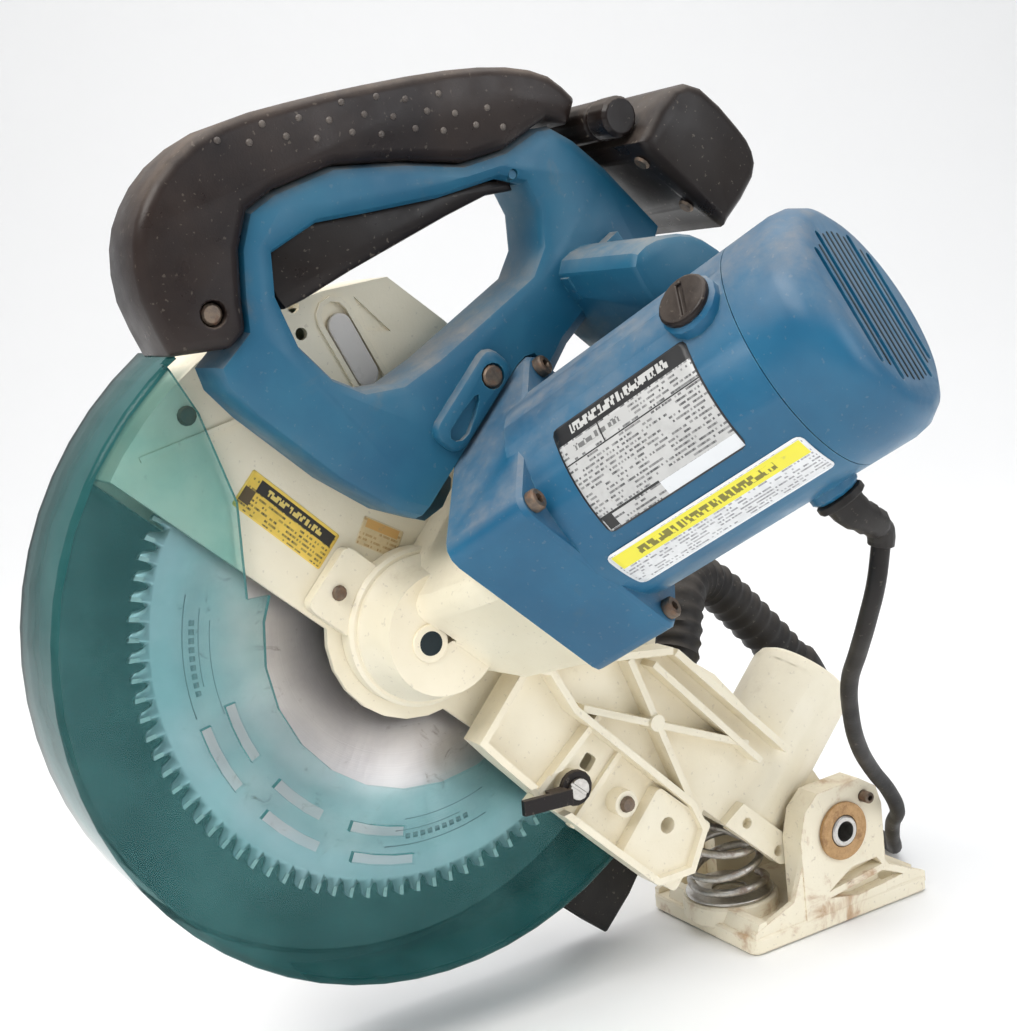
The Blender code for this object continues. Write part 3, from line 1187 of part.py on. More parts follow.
def power_plug():
    """A two-blade plug lying beside the coil, its blades towards the front."""
    along = Vector(PLUG_DIRECTION)
    frame = frame_towards(Vector(PLUG_TAIL) + along * 22, along)
    outline = [rounded_box_outline(-half_w, half_w, -half_h, half_h, r, 3)
               for half_w, half_h, r in ((5, 5, 4.5), (6.5, 6, 4.5), (13, 10.5, 4), (13.2, 11, 4),
                                         (12.6, 10.4, 4))]
    depths = (-22, -8, 0, 12, 16)
    body = stacked("power_plug", [(d, counterclockwise(o)) for d, o in zip(depths, outline)], None,
                   black_rubber(), frame, 24)
    for side in (-1, 1):
        blade = prism("plug_blade_tool_%d" % side,
                      rounded_box_outline(side * 6.35 - 0.8, side * 6.35 + 0.8, -3.2, 3.2, 0.5, 1),
                      10, 33, None, None, frame)
        join(body, blade)
    return body


# ---------------------------------------------------------------- the whole part
def build():
    global HEAD, ARBOR
    clear_scene()
    HEAD = empty("head_axis", None, (0, 0, HINGE_HEIGHT), (math.radians(-RAISED_DEG), 0, 0))
    ARBOR = empty("blade_axis", HEAD, (0, -HINGE_B, -HINGE_U))
    hinge_bracket()
    hinge_pieces()
    return_spring()
    spindle_pieces()
    gears()
    blade_case()
    lower_guard()
    cover_and_screws()
    gear_housing()
    bearings()
    motor_housing()
    motor_end_cap()
    motor_rotor()
    motor_stator()
    flange_screws()
    rear_arm()
    arm_pieces()
    handle_frame()
    grip_cover()
    handle_pieces()
    lamp()
    dust_boot()
    dust_hose()
    strain_relief()
    power_cord()
    power_plug()


build()
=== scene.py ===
"""Mitre saw head: worn plastics, painted castings, steel and a clear green guard, ready to render."""
import json
import math

import bmesh
import bpy
from mathutils import Matrix, Vector
from mathutils.bvhtree import BVHTree


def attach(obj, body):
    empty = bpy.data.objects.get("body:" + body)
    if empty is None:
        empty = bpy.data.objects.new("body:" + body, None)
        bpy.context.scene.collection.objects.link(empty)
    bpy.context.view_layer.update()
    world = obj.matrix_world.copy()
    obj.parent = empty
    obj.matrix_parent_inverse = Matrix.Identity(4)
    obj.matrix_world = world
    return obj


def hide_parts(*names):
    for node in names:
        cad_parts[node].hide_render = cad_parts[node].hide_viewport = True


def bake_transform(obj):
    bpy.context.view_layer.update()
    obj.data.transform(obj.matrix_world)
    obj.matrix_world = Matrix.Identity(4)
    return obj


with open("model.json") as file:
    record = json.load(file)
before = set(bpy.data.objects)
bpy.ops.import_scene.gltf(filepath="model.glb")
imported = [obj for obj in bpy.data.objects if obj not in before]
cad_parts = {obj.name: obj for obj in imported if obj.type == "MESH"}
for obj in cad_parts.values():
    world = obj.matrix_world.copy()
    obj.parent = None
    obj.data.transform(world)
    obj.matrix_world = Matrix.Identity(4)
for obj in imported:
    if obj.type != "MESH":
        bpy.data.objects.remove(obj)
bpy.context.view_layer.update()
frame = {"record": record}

# ---------------------------------------------------------------- frames and sizes
MM = 0.001
RAISED = math.radians(43)
MOTOR_TILT = math.radians(41)
# in metres
HINGE_B, HINGE_U, HINGE_Z = 0.255, 0.035, 0.049
HEAD = (Matrix.Translation((0, 0, HINGE_Z)) @ Matrix.Rotation(-RAISED, 4, "X")
        @ Matrix.Translation((0, -HINGE_B, -HINGE_U)))
CORD_D = 0.008
# in millimetres on the raised head, where x runs across, b rearward and u up from the spindle
GUARD_R = 163.0
BLADE_R = 127.5
BLADE_TEETH = 92
CASE_FACE = 12.0
HUB_FACE = 41.6
HUB_HOLE = (-4.5, -7.5)
# in millimetres along the motor's shaft
CAP_FACE = 259.0
# from the saw towards the camera
CAMERA_BACK = (0.857, -0.491, 0.157)


def at_head(x, b, u):
    """The point in the shared frame of a place on the raised head, given in millimetres."""
    return HEAD @ (Vector((x, b, u)) * MM)


def motor_matrix():
    """Turns (rearward, across, along the motor's shaft) in millimetres into the shared frame."""
    cos, sin = math.cos(MOTOR_TILT), math.sin(MOTOR_TILT)
    turn = Matrix(((0, -sin, cos, 0), (1, 0, 0, 0), (0, cos, sin, 0), (0, 0, 0, 1)))
    return HEAD @ turn @ Matrix.Scale(MM, 4)


MOTOR = motor_matrix()
HEAD_MM = HEAD @ Matrix.Scale(MM, 4)
BODY_OF = {}
for body_name, members in frame["record"]["behaviour"]["bodies"].items():
    for member in members:
        BODY_OF[member] = body_name


# ---------------------------------------------------------------- camera
def make_camera():
    data = bpy.data.cameras.new("view_camera")
    camera = bpy.data.objects.new("view_camera", data)
    bpy.context.collection.objects.link(camera)
    back = Vector(CAMERA_BACK).normalized()
    up = Vector((-0.081, 0.173, 0.982))
    right = up.cross(back).normalized()
    up = back.cross(right).normalized()
    place = Matrix((right, up, back)).transposed().to_4x4()
    place.translation = Vector((0.644, -0.518, 0.353))
    camera.matrix_world = place
    data.sensor_fit = "AUTO"
    data.sensor_width = 36.0
    data.lens = 55.87
    data.clip_start = 0.01
    bpy.context.scene.camera = camera


make_camera()


# ---------------------------------------------------------------- node helpers
def add(tree, kind, settings=None, **inputs):
    """A new node. Inputs are sockets to link or values to set, by name with _ for a space, or as i0, i1."""
    node = tree.nodes.new("ShaderNode" + kind)
    for key, value in (settings or {}).items():
        setattr(node, key, value)
    for key, value in inputs.items():
        by_number = key[0] == "i" and key[1:].isdigit()
        socket = node.inputs[int(key[1:]) if by_number else key.replace("_", " ")]
        if isinstance(value, bpy.types.NodeSocket):
            tree.links.new(value, socket)
        else:
            socket.default_value = value
    return node


def rgba(colour):
    return (*colour, 1.0)


def coords(tree, stretch=(1, 1, 1)):
    where = add(tree, "TexCoord").outputs["Object"]
    if stretch == (1, 1, 1):
        return where
    return add(tree, "Mapping", Vector=where, Scale=stretch).outputs["Vector"]


def noise(tree, scale, detail=3.0, rough=0.55, where=None, twist=0.0):
    node = add(tree, "TexNoise", Vector=where or coords(tree), Scale=scale, Detail=detail,
               Roughness=rough, Distortion=twist)
    return node.outputs["Fac"]


def span(tree, value, low, high, to_low=0.0, to_high=1.0, smooth=True):
    """The value's range low to high, brought to to_low to to_high and held there."""
    kind = "SMOOTHSTEP" if smooth else "LINEAR"
    node = add(tree, "MapRange", {"interpolation_type": kind}, Value=value)
    node.inputs["From Min"].default_value = low
    node.inputs["From Max"].default_value = high
    node.inputs["To Min"].default_value = to_low
    node.inputs["To Max"].default_value = to_high
    return node.outputs["Result"]


def maths(tree, operation, first, second=0.0):
    return add(tree, "Math", {"operation": operation}, i0=first, i1=second).outputs[0]


def blend_colour(tree, share, first, second, kind="MIX"):
    node = add(tree, "Mix", {"data_type": "RGBA", "blend_type": kind, "clamp_factor": True})
    for index, value in ((0, share), (6, first), (7, second)):
        if isinstance(value, bpy.types.NodeSocket):
            tree.links.new(value, node.inputs[index])
        else:
            node.inputs[index].default_value = value
    return node.outputs[2]


def facing_up(tree, low=0.15, high=0.95):
    """How far the surface faces up at rest, 0 to 1."""
    normal = add(tree, "TexCoord").outputs["Normal"]
    height = add(tree, "SeparateXYZ", Vector=normal).outputs["Z"]
    return span(tree, height, low, high)


def edge_wear(tree, radius, low=0.02, high=0.25):
    """Picks out convex edges, 0 to 1, from how far a rounded normal leans away."""
    rounded = add(tree, "Bevel", {"samples": 4}, Radius=radius).outputs["Normal"]
    plain = add(tree, "NewGeometry").outputs["Normal"]
    dot = add(tree, "VectorMath", {"operation": "DOT_PRODUCT"}, i0=rounded, i1=plain).outputs["Value"]
    lean = maths(tree, "SUBTRACT", 1.0, dot)
    return span(tree, lean, low, high)


def bumped(tree, layers):
    """A normal from layers of (height, strength, distance), coarsest first."""
    normal = None
    for height, strength, distance in layers:
        node = add(tree, "Bump", Height=height, Strength=strength, Distance=distance)
        if normal is not None:
            tree.links.new(normal, node.inputs["Normal"])
        normal = node.outputs["Normal"]
    return normal


def from_spindle(tree):
    """How far a point lies from the blade's axis at rest, in metres."""
    offset = add(tree, "VectorMath", {"operation": "SUBTRACT"}, i0=coords(tree), i1=tuple(at_head(0, 0, 0)))
    parts = add(tree, "SeparateXYZ", Vector=offset.outputs["Vector"])
    across = add(tree, "CombineXYZ", X=0.0, Y=parts.outputs["Y"], Z=parts.outputs["Z"]).outputs["Vector"]
    return add(tree, "VectorMath", {"operation": "LENGTH"}, i0=across).outputs["Value"]


def fresh_material(name):
    mat = bpy.data.materials.new(name)
    mat.use_nodes = True
    tree = mat.node_tree
    shader = tree.nodes["Principled BSDF"]
    return mat, tree, shader


def feed(shader, **sockets):
    """Links values to the shader's inputs, by name with _ for a space."""
    for name, value in sockets.items():
        shader.id_data.links.new(value, shader.inputs[name.replace("_", " ")])


def worn(name, base, second, rough, grain=(900, 0.25, 0.0002), dust=((0.33, 0.29, 0.24), 0.3),
         stain=(), wear=None, specks=0.0):
    """A used surface: two mixed tones, dust on upward faces, stains, specks, worn edges, fine grain.

    grain is (scale, strength, depth), dust is (colour, amount), wear is (colour, edge radius, amount)
    and each stain is (colour, scale, low, high, amount).
    """
    mat, tree, shader = fresh_material(name)
    patches = 22.0
    tone = span(tree, noise(tree, patches, 4), 0.3, 0.7)
    colour = blend_colour(tree, tone, rgba(base), rgba(second))
    rough_value = span(tree, noise(tree, patches * 3, 5), 0.25, 0.75, rough - 0.08, rough + 0.1)
    if wear:
        broken = span(tree, noise(tree, 240, 4), 0.4, 0.6)
        edge = maths(tree, "MULTIPLY", edge_wear(tree, wear[1]), broken)
        colour = blend_colour(tree, maths(tree, "MULTIPLY", edge, wear[2]), colour, rgba(wear[0]))
    for tint, scale, low, high, amount in stain:
        mask = span(tree, noise(tree, scale, 6, 0.65, twist=0.6), low, high, 0.0, amount)
        colour = blend_colour(tree, mask, colour, rgba(tint))
    if dust:
        patchy = span(tree, noise(tree, 55, 6, 0.7), 0.3, 0.75, 0.25, 1)
        cover = maths(tree, "MULTIPLY", facing_up(tree), patchy)
        cover = maths(tree, "MULTIPLY", cover, dust[1])
        colour = blend_colour(tree, cover, colour, rgba(dust[0]))
        rough_value = maths(tree, "MINIMUM", maths(tree, "ADD", rough_value, cover), 0.95)
    if specks:
        dots = span(tree, noise(tree, 420, 2, 0.5), 0.66, 0.72, 0.0, specks)
        colour = blend_colour(tree, dots, colour, rgba((0.42, 0.36, 0.29)))
    uneven = (noise(tree, 60, 3), 0.12, 0.0006)
    grainy = (noise(tree, grain[0], 2), grain[1], grain[2])
    feed(shader, Base_Color=colour, Roughness=rough_value, Normal=bumped(tree, [uneven, grainy]))
    return mat


def metal(name, base, second, rough, rust, brushed=(1, 1, 1)):
    """Bare or rusting metal. brushed stretches its fine grain by an amount for each axis."""
    mat, tree, shader = fresh_material(name)
    lines = noise(tree, 420, 5, 0.7, where=coords(tree, brushed))
    tone = span(tree, lines, 0.3, 0.7)
    colour = blend_colour(tree, tone, rgba(base), rgba(second))
    rust_mask = span(tree, noise(tree, 140, 6, 0.7), 0.62 - 0.4 * rust, 0.75 - 0.3 * rust, 0.0,
                     min(1.0, rust * 1.6))
    rust_tone = blend_colour(tree, noise(tree, 500, 4), rgba((0.11, 0.045, 0.02)), rgba((0.30, 0.13, 0.05)))
    colour = blend_colour(tree, rust_mask, colour, rust_tone)
    coarse = maths(tree, "ADD", rust_mask, maths(tree, "MULTIPLY", lines, 0.3))
    pitted = (noise(tree, 500, 4), 0.15 + 0.5 * rust, 0.0002)
    feed(shader, Base_Color=colour, Metallic=maths(tree, "SUBTRACT", 1.0, rust_mask),
         Roughness=span(tree, coarse, 0.0, 1.0, rough, 0.85, False),
         Normal=bumped(tree, [pitted, (lines, 0.15, 0.0001)]))
    return mat


TEAL = worn("teal_plastic", (0.005, 0.092, 0.190), (0.010, 0.118, 0.228), 0.36, (1300, 0.16, 0.00012),
            ((0.36, 0.31, 0.26), 0.55), wear=((0.10, 0.30, 0.38), 0.0012, 0.5), specks=0.10,
            stain=[((0.10, 0.12, 0.12), 34, 0.62, 0.8, 0.35)])
TEAL_DUSTY = worn("teal_plastic_dusty", (0.006, 0.090, 0.172), (0.014, 0.120, 0.205), 0.45,
                  (1300, 0.16, 0.00012), ((0.37, 0.32, 0.26), 0.62),
                  wear=((0.10, 0.30, 0.38), 0.0012, 0.5), specks=0.08,
                  stain=[((0.16, 0.14, 0.12), 30, 0.58, 0.8, 0.45)])
CREAM_TONES = ((0.86, 0.78, 0.60), (0.92, 0.85, 0.68))
CREAM = worn("cream_casting", *CREAM_TONES, 0.42, (700, 0.22, 0.00025),
             ((0.55, 0.46, 0.34), 0.3), wear=((0.60, 0.55, 0.47), 0.0010, 0.35), specks=0.25,
             stain=[((0.42, 0.29, 0.15), 40, 0.60, 0.82, 0.5), ((0.30, 0.16, 0.07), 90, 0.70, 0.85, 0.5)])
CREAM_RUSTY = worn("cream_casting_rusty", *CREAM_TONES, 0.45,
                   (700, 0.3, 0.0003), ((0.50, 0.40, 0.28), 0.35),
                   wear=((0.50, 0.30, 0.16), 0.0014, 0.6), specks=0.3,
                   stain=[((0.42, 0.20, 0.07), 38, 0.55, 0.72, 0.75),
                          ((0.20, 0.08, 0.03), 110, 0.62, 0.8, 0.8)])
BLACK = worn("black_plastic", (0.008, 0.005, 0.005), (0.016, 0.011, 0.009), 0.34, (1500, 0.2, 0.00012),
             ((0.25, 0.20, 0.16), 0.38), wear=((0.10, 0.08, 0.07), 0.0012, 0.6), specks=0.16)
GRIP = worn("grip_plastic", (0.012, 0.008, 0.008), (0.026, 0.017, 0.014), 0.33, (1100, 0.22, 0.00015),
            ((0.30, 0.235, 0.185), 0.5), wear=((0.12, 0.09, 0.075), 0.0015, 0.5), specks=0.12)
RUBBER = worn("black_rubber", (0.010, 0.009, 0.009), (0.022, 0.019, 0.017), 0.5, (900, 0.35, 0.0002),
              ((0.22, 0.19, 0.16), 0.4), wear=((0.07, 0.065, 0.06), 0.001, 0.6), specks=0.12)
STEEL = metal("turned_steel", (0.52, 0.50, 0.47), (0.66, 0.64, 0.61), 0.28, 0.12)
SPRING = metal("spring_steel", (0.46, 0.44, 0.41), (0.62, 0.60, 0.56), 0.34, 0.32)
RUSTY = metal("rusty_steel", (0.16, 0.13, 0.11), (0.26, 0.20, 0.15), 0.5, 0.35)
BRONZE = metal("sintered_bronze", (0.42, 0.26, 0.13), (0.55, 0.36, 0.19), 0.45, 0.3)
COPPER = metal("lacquered_windings", (0.38, 0.16, 0.07), (0.50, 0.24, 0.11), 0.35, 0.05, (1, 1, 8))
CARBON = worn("pressed_carbon", (0.03, 0.03, 0.032), (0.05, 0.05, 0.052), 0.6, dust=None)


def blade_material():
    """Ground steel with turning rings, a warm grey tone whose pink-purple cast is a painted reflection, and
    brown pitch marks.
    """
    mat, tree, shader = fresh_material("ground_blade_steel")
    radius = from_spindle(tree)
    ring = add(tree, "CombineXYZ", X=radius, Y=0.0, Z=0.0).outputs["Vector"]
    rings = noise(tree, 1500, 3, 0.8, where=ring)
    cloud = noise(tree, 24, 5, 0.6, twist=0.4)
    tone = span(tree, cloud, 0.3, 0.7)
    # The grey is the steel's own; the slight pink-purple cast of these tones is a painted reflection.
    colour = blend_colour(tree, tone, rgba((0.56, 0.53, 0.54)), rgba((0.72, 0.69, 0.68)))
    colour = blend_colour(tree, maths(tree, "MULTIPLY", rings, 0.5), colour, rgba((0.40, 0.36, 0.37)))
    pitch = span(tree, noise(tree, 70, 6, 0.7, twist=1.0), 0.58, 0.75, 0.0, 0.7)
    colour = blend_colour(tree, pitch, colour, rgba((0.16, 0.10, 0.07)))
    outer = span(tree, radius, 0.100, 0.112, 0.0, 0.55)
    colour = blend_colour(tree, outer, colour, rgba((0.66, 0.67, 0.70)))
    bare = maths(tree, "SUBTRACT", 0.72, maths(tree, "MULTIPLY", pitch, 0.6))
    coarse = maths(tree, "ADD", pitch, maths(tree, "MULTIPLY", rings, 0.35))
    feed(shader, Base_Color=colour, Metallic=bare, Roughness=span(tree, coarse, 0, 1, 0.36, 0.65),
         Normal=bumped(tree, [(cloud, 0.05, 0.001), (rings, 0.22, 0.0002)]))
    shader.inputs["Anisotropic"].default_value = 0.5
    return mat


def guard_material():
    """Clear green polycarbonate with haze and fine scratches, and painted shade that makes its far wall and
    rim darker.
    """
    mat, tree, shader = fresh_material("clear_green_guard")
    out = tree.nodes["Material Output"]
    haze = span(tree, noise(tree, 30, 5, 0.6), 0.35, 0.75)
    scratch = span(tree, noise(tree, 700, 3, 0.6, where=coords(tree, (0.4, 1, 0.12))), 0.71, 0.78)
    # Painted shade: the far wall (by x) and the outer rim (by radius) get a darker tint, a dark base colour
    # and more opacity.
    sideways = add(tree, "SeparateXYZ", Vector=coords(tree)).outputs["X"]
    far_wall_painted_shade = span(tree, sideways, -0.034, 0.010, 1.0, 0.0)
    rim_painted_shade = span(tree, from_spindle(tree), 0.1585, 0.1605, 0.0, 0.5)
    guard_painted_shade = maths(tree, "MAXIMUM", far_wall_painted_shade, rim_painted_shade)
    tint = blend_colour(tree, haze, rgba((0.87, 0.975, 0.985)), rgba((0.80, 0.95, 0.96)))
    tint = blend_colour(tree, guard_painted_shade, tint, rgba((0.27, 0.38, 0.38)))
    clear = add(tree, "BsdfTransparent", Color=tint)
    glow = blend_colour(tree, haze, rgba((0.08, 0.34, 0.34)), rgba((0.16, 0.46, 0.45)))
    coarse = maths(tree, "ADD", maths(tree, "MULTIPLY", haze, 0.3), scratch)
    # The dark second base colour is the painted shade on the far wall and rim.
    feed(shader, Base_Color=blend_colour(tree, guard_painted_shade, glow, rgba((0.013, 0.048, 0.048))),
         Roughness=span(tree, coarse, 0, 1, 0.08, 0.35),
         Normal=bumped(tree, [(noise(tree, 12, 2), 0.05, 0.002), (scratch, 0.02, 0.0001)]))
    graze = add(tree, "LayerWeight", Blend=0.25).outputs["Fresnel"]
    share = maths(tree, "ADD", maths(tree, "MULTIPLY", haze, 0.05), maths(tree, "MULTIPLY", scratch, 0.10))
    share = maths(tree, "ADD", share, maths(tree, "MULTIPLY", guard_painted_shade, 0.30))
    share = maths(tree, "ADD", maths(tree, "ADD", share, 0.05), maths(tree, "MULTIPLY", graze, 0.8))
    share = maths(tree, "MINIMUM", share, 1.0)
    mixed = add(tree, "MixShader", i0=share)
    tree.links.new(clear.outputs[0], mixed.inputs[1])
    tree.links.new(shader.outputs[0], mixed.inputs[2])
    tree.links.new(mixed.outputs[0], out.inputs["Surface"])
    return mat


def lens_material():
    mat, tree, shader = fresh_material("frosted_lens")
    colour = blend_colour(tree, noise(tree, 60, 3), rgba((0.55, 0.57, 0.56)), rgba((0.75, 0.77, 0.75)))
    feed(shader, Base_Color=colour, Roughness=span(tree, noise(tree, 300, 3), 0.3, 0.7, 0.1, 0.3),
         Normal=bumped(tree, [(noise(tree, 350, 2), 0.4, 0.0003)]))
    return mat


for plastic in (BLACK, GRIP, RUBBER):
    plastic.node_tree.nodes["Principled BSDF"].inputs["Specular IOR Level"].default_value = 0.28
BLADE = blade_material()
TIPS = metal("carbide_tips", (0.50, 0.49, 0.47), (0.62, 0.61, 0.58), 0.35, 0.2)
INK = worn("grey_print", (0.24, 0.22, 0.24), (0.36, 0.34, 0.35), 0.5, dust=None)
PIP = worn("rubbed_pips", (0.06, 0.048, 0.042), (0.12, 0.10, 0.085), 0.45, dust=None)
# A near-black colour used as painted shade in the openings of slots and holes.
PAINTED_OPENING_SHADE = worn("vent_shadow", (0.004, 0.012, 0.016), (0.008, 0.020, 0.026), 0.8, dust=None)
PALE = worn("pale_plastic", (0.66, 0.62, 0.58), (0.74, 0.70, 0.66), 0.35, (900, 0.12, 0.0001),
            ((0.45, 0.38, 0.30), 0.3), specks=0.1)
GUARD = guard_material()
LENS = lens_material()


# ---------------------------------------------------------------- meshes
def link_object(name, mesh):
    obj = bpy.data.objects.new(name, mesh)
    bpy.context.collection.objects.link(obj)
    return obj


def smooth_shade(mesh, degrees=35):
    mesh.polygons.foreach_set("use_smooth", [True] * len(mesh.polygons))
    mesh.set_sharp_from_angle(angle=math.radians(degrees))


def soften(obj, width, segments, degrees=30):
    """Rounds the edges sharper than an angle, by a width in millimetres."""
    modifier = obj.modifiers.new("soft_edges", "BEVEL")
    modifier.width = width * MM
    modifier.segments = segments
    modifier.limit_method = "ANGLE"
    modifier.angle_limit = math.radians(degrees)
    modifier.harden_normals = True
    modifier.use_clamp_overlap = True


def thicken(obj, thickness):
    """Gives a sheet a thickness in millimetres."""
    modifier = obj.modifiers.new("sheet", "SOLIDIFY")
    modifier.thickness = thickness * MM
    return modifier


def axis_frame(origin, direction):
    """Millimetres with the third axis along a direction of the raised head, into the shared frame."""
    turn = Vector(direction).to_track_quat("Z", "Y").to_matrix().to_4x4()
    return HEAD_MM @ Matrix.Translation(origin) @ turn


def round_turned(axis, sides, least=8.0):
    """An edit that splits the flats of a turned shape of that many sides and puts them on its circle.

    The shape is turned about the third axis of a frame in millimetres. Circles under least are left.
    """
    inward = axis.inverted()
    whole = 2 * math.pi / sides

    def edit(bm):
        chosen, reach = [], {}
        for vert in bm.verts:
            place = inward @ vert.co
            reach[vert] = (place.xy.length, place.z, math.atan2(place.y, place.x))
        for edge in bm.edges:
            (r1, z1, a1), (r2, z2, a2) = (reach[v] for v in edge.verts)
            apart = abs((a1 - a2 + math.pi) % (2 * math.pi) - math.pi)
            level = abs(r1 - r2) < 0.03 and abs(z1 - z2) < 0.05 and r1 > least
            if level and abs(apart - whole) < 0.04 * whole:
                chosen.append((edge, r1))
        radius_of = {}
        for edge, radius in chosen:
            middle = inward @ ((edge.verts[0].co + edge.verts[1].co) / 2)
            radius_of[(round(middle.z, 1), round(middle.xy.length, 1))] = radius
        before = set(bm.verts)
        bmesh.ops.subdivide_edges(bm, edges=[e for e, r in chosen], cuts=3, use_grid_fill=True)
        rings = sorted(set((z, r) for (z, low), r in radius_of.items()))
        for vert in bm.verts:
            if vert in before:
                continue
            place = inward @ vert.co
            best = None
            for z, radius in rings:
                if abs(place.z - z) < 0.12 and 0 <= radius - place.xy.length < 0.012 * radius + 0.05:
                    if best is None or radius < best:
                        best = radius
            if best is not None:
                flat = place.xy.normalized() * best
                vert.co = axis @ Vector((flat.x, flat.y, place.z))

    return edit


def all_edits(*edits):
    def edit(bm):
        for one in edits:
            one(bm)

    return edit


def refined(node, mat, bevel, edit=None):
    """A copy of a CAD node with flat faces merged and edges rounded, standing for the node."""
    mesh = bpy.data.objects[node].data.copy()
    bm = bmesh.new()
    bm.from_mesh(mesh)
    bmesh.ops.remove_doubles(bm, verts=bm.verts[:], dist=2e-6)
    bmesh.ops.dissolve_limit(bm, angle_limit=math.radians(0.6), verts=bm.verts[:], edges=bm.edges[:],
                             use_dissolve_boundaries=False)
    if edit:
        edit(bm)
    bm.to_mesh(mesh)
    bm.free()
    obj = link_object("fine_" + node, mesh)
    mesh.materials.clear()
    mesh.materials.append(mat)
    smooth_shade(mesh)
    soften(obj, bevel, 2, 32)
    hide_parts(node)
    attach(obj, BODY_OF[node])
    return obj


# ---------------------------------------------------------------- cord
CORD_ROUTE = [(163, -70, 222), (161, -72, 207), (153, -71, 190), (138, -64, 172), (120, -54, 154),
              (102, -39, 132), (84, -20, 108), (68, 2, 86), (57, 22, 67), (46, 37, 50), (30, 48, 36),
              (17, 59, 21), (5, 71, 9), (-9, 80, 4.5), (-28, 86.5, 4.3), (-61.5, 92.6, 4.3)]
CORD_LOW = 4.3
COIL_CENTRE = Vector((-122.0, 38.0))
COIL_R = 47.5
COIL_EDGE = 64.3
COIL_TURNS = 6
BUNDLE_R = 9.3
BUNDLE_MIDDLE = 13.5
PLUG_TAIL = Vector((-136.6, -27.4, 11.3))


def on_ring(angle, reach, height):
    """A place round the coil's centre, in millimetres."""
    centre = COIL_CENTRE
    return Vector((centre.x + reach * math.cos(angle), centre.y + reach * math.sin(angle), height))


def coil_point(turns):
    """A place on the cord after some turns, which lie side by side round a bundle's middle."""
    angle = math.radians(140) + 2 * math.pi * turns
    section = math.radians(-7) + 2 * math.pi * turns / 7
    return angle, COIL_R + BUNDLE_R * math.cos(section), BUNDLE_MIDDLE + BUNDLE_R * math.sin(section)


def eased(t):
    return t * t * (3 - 2 * t)


def cord_line():
    """The cord's middle from the motor, down behind the arm, round the coil and out to the plug."""
    line = [Vector(p) for p in CORD_ROUTE]
    line.append(on_ring(math.radians(80), COIL_EDGE, CORD_LOW))
    start, reach, height = coil_point(0)
    for k in range(1, 5):
        t = k / 5
        line.append(on_ring(math.radians(80 + 60 * t), COIL_EDGE + (reach - COIL_EDGE) * eased(t),
                            CORD_LOW + (height - CORD_LOW) * eased(t)))
    total = COIL_TURNS + 50 / 360
    steps = int(total * 24)
    for k in range(steps + 1):
        line.append(on_ring(*coil_point(total * k / steps)))
    angle, reach, height = coil_point(total)
    for k in range(1, 5):
        t = k / 4
        line.append(on_ring(angle + math.radians(50) * t, reach + (COIL_EDGE - reach) * eased(t),
                            height + (CORD_LOW - height) * eased(t)))
    last = line[-1]
    for t in (0.5, 1.0):
        line.append(last.lerp(PLUG_TAIL, t))
    return [p * MM for p in line]


def tube_curve(name, points, radius, mat):
    """A round tube along a smooth curve through the points, closed at both ends."""
    data = bpy.data.curves.new(name, "CURVE")
    data.dimensions = "3D"
    spline = data.splines.new("BEZIER")
    spline.bezier_points.add(len(points) - 1)
    for knot, place in zip(spline.bezier_points, points):
        knot.co = place
        knot.handle_left_type = knot.handle_right_type = "AUTO"
    data.resolution_u = 6
    data.bevel_depth = radius
    data.bevel_resolution = 4
    data.use_fill_caps = True
    data.materials.append(mat)
    return link_object(name, data)


def finer(points, steps):
    """A smooth line through the points, with that many steps from each to the next."""
    line = []
    for k, (a, b) in enumerate(zip(points, points[1:])):
        before = points[k - 1] if k else a
        after = points[k + 2] if k + 2 < len(points) else b
        for step in range(steps):
            t = step / steps
            line.append(0.5 * ((2 * a) + (b - before) * t + (2 * before - 5 * a + 4 * b - after) * t * t
                               + (3 * a - before - 3 * b + after) * t ** 3))
    line.append(points[-1])
    return line


def make_cord():
    """The mains cord as one tube, standing for the CAD's cord and coil, with its plug."""
    points = cord_line()
    curve = tube_curve("mains_cord_line", points, CORD_D / 2, RUBBER)
    bpy.context.view_layer.update()
    evaluated = curve.evaluated_get(bpy.context.evaluated_depsgraph_get())
    mesh = bpy.data.meshes.new_from_object(evaluated)
    data = curve.data
    bpy.data.objects.remove(curve)
    bpy.data.curves.remove(data)
    cord = link_object("mains_cord", mesh)
    mesh.polygons.foreach_set("use_smooth", [True] * len(mesh.polygons))
    plug = refined("power_plug", RUBBER, 0.5)
    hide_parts("power_cord", "cord_coil")
    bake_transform(cord)


make_cord()


# ---------------------------------------------------------------- the saw's pieces
ARBOR_AXIS = axis_frame((0, 0, 0), (1, 0, 0))
TUBE_AXIS = axis_frame((0, 222, 0), (0, 0, 1))
HINGE_AXIS = axis_frame((0, 255, 35), (1, 0, 0))
SEAT_AXIS = Matrix.Translation((0, -0.041, 0)) @ Matrix.Scale(MM, 4)
ROUNDED = {
    "motor_housing": round_turned(MOTOR, 28, 40),
    "motor_end_cap": round_turned(MOTOR, 28, 30),
    "rear_arm": all_edits(round_turned(TUBE_AXIS, 22), round_turned(HINGE_AXIS, 24)),
    "gear_housing": round_turned(ARBOR_AXIS, 24, 20),
    "blade_bolt_cover": round_turned(ARBOR_AXIS, 24, 8),
    "hinge_bush_right": round_turned(HINGE_AXIS, 22, 5),
    "hinge_bush_left": round_turned(HINGE_AXIS, 22, 5),
    "hinge_shaft": round_turned(HINGE_AXIS, 22, 4),
    "hinge_bracket": all_edits(round_turned(SEAT_AXIS, 22, 20), round_turned(HINGE_AXIS, 22, 8)),
    "spring_seat_washer": round_turned(SEAT_AXIS, 22, 8),
    "lamp_switch_barrel": round_turned(axis_frame((0, -75.5, 216.5), (1, 0, 0)), 16, 5),
}
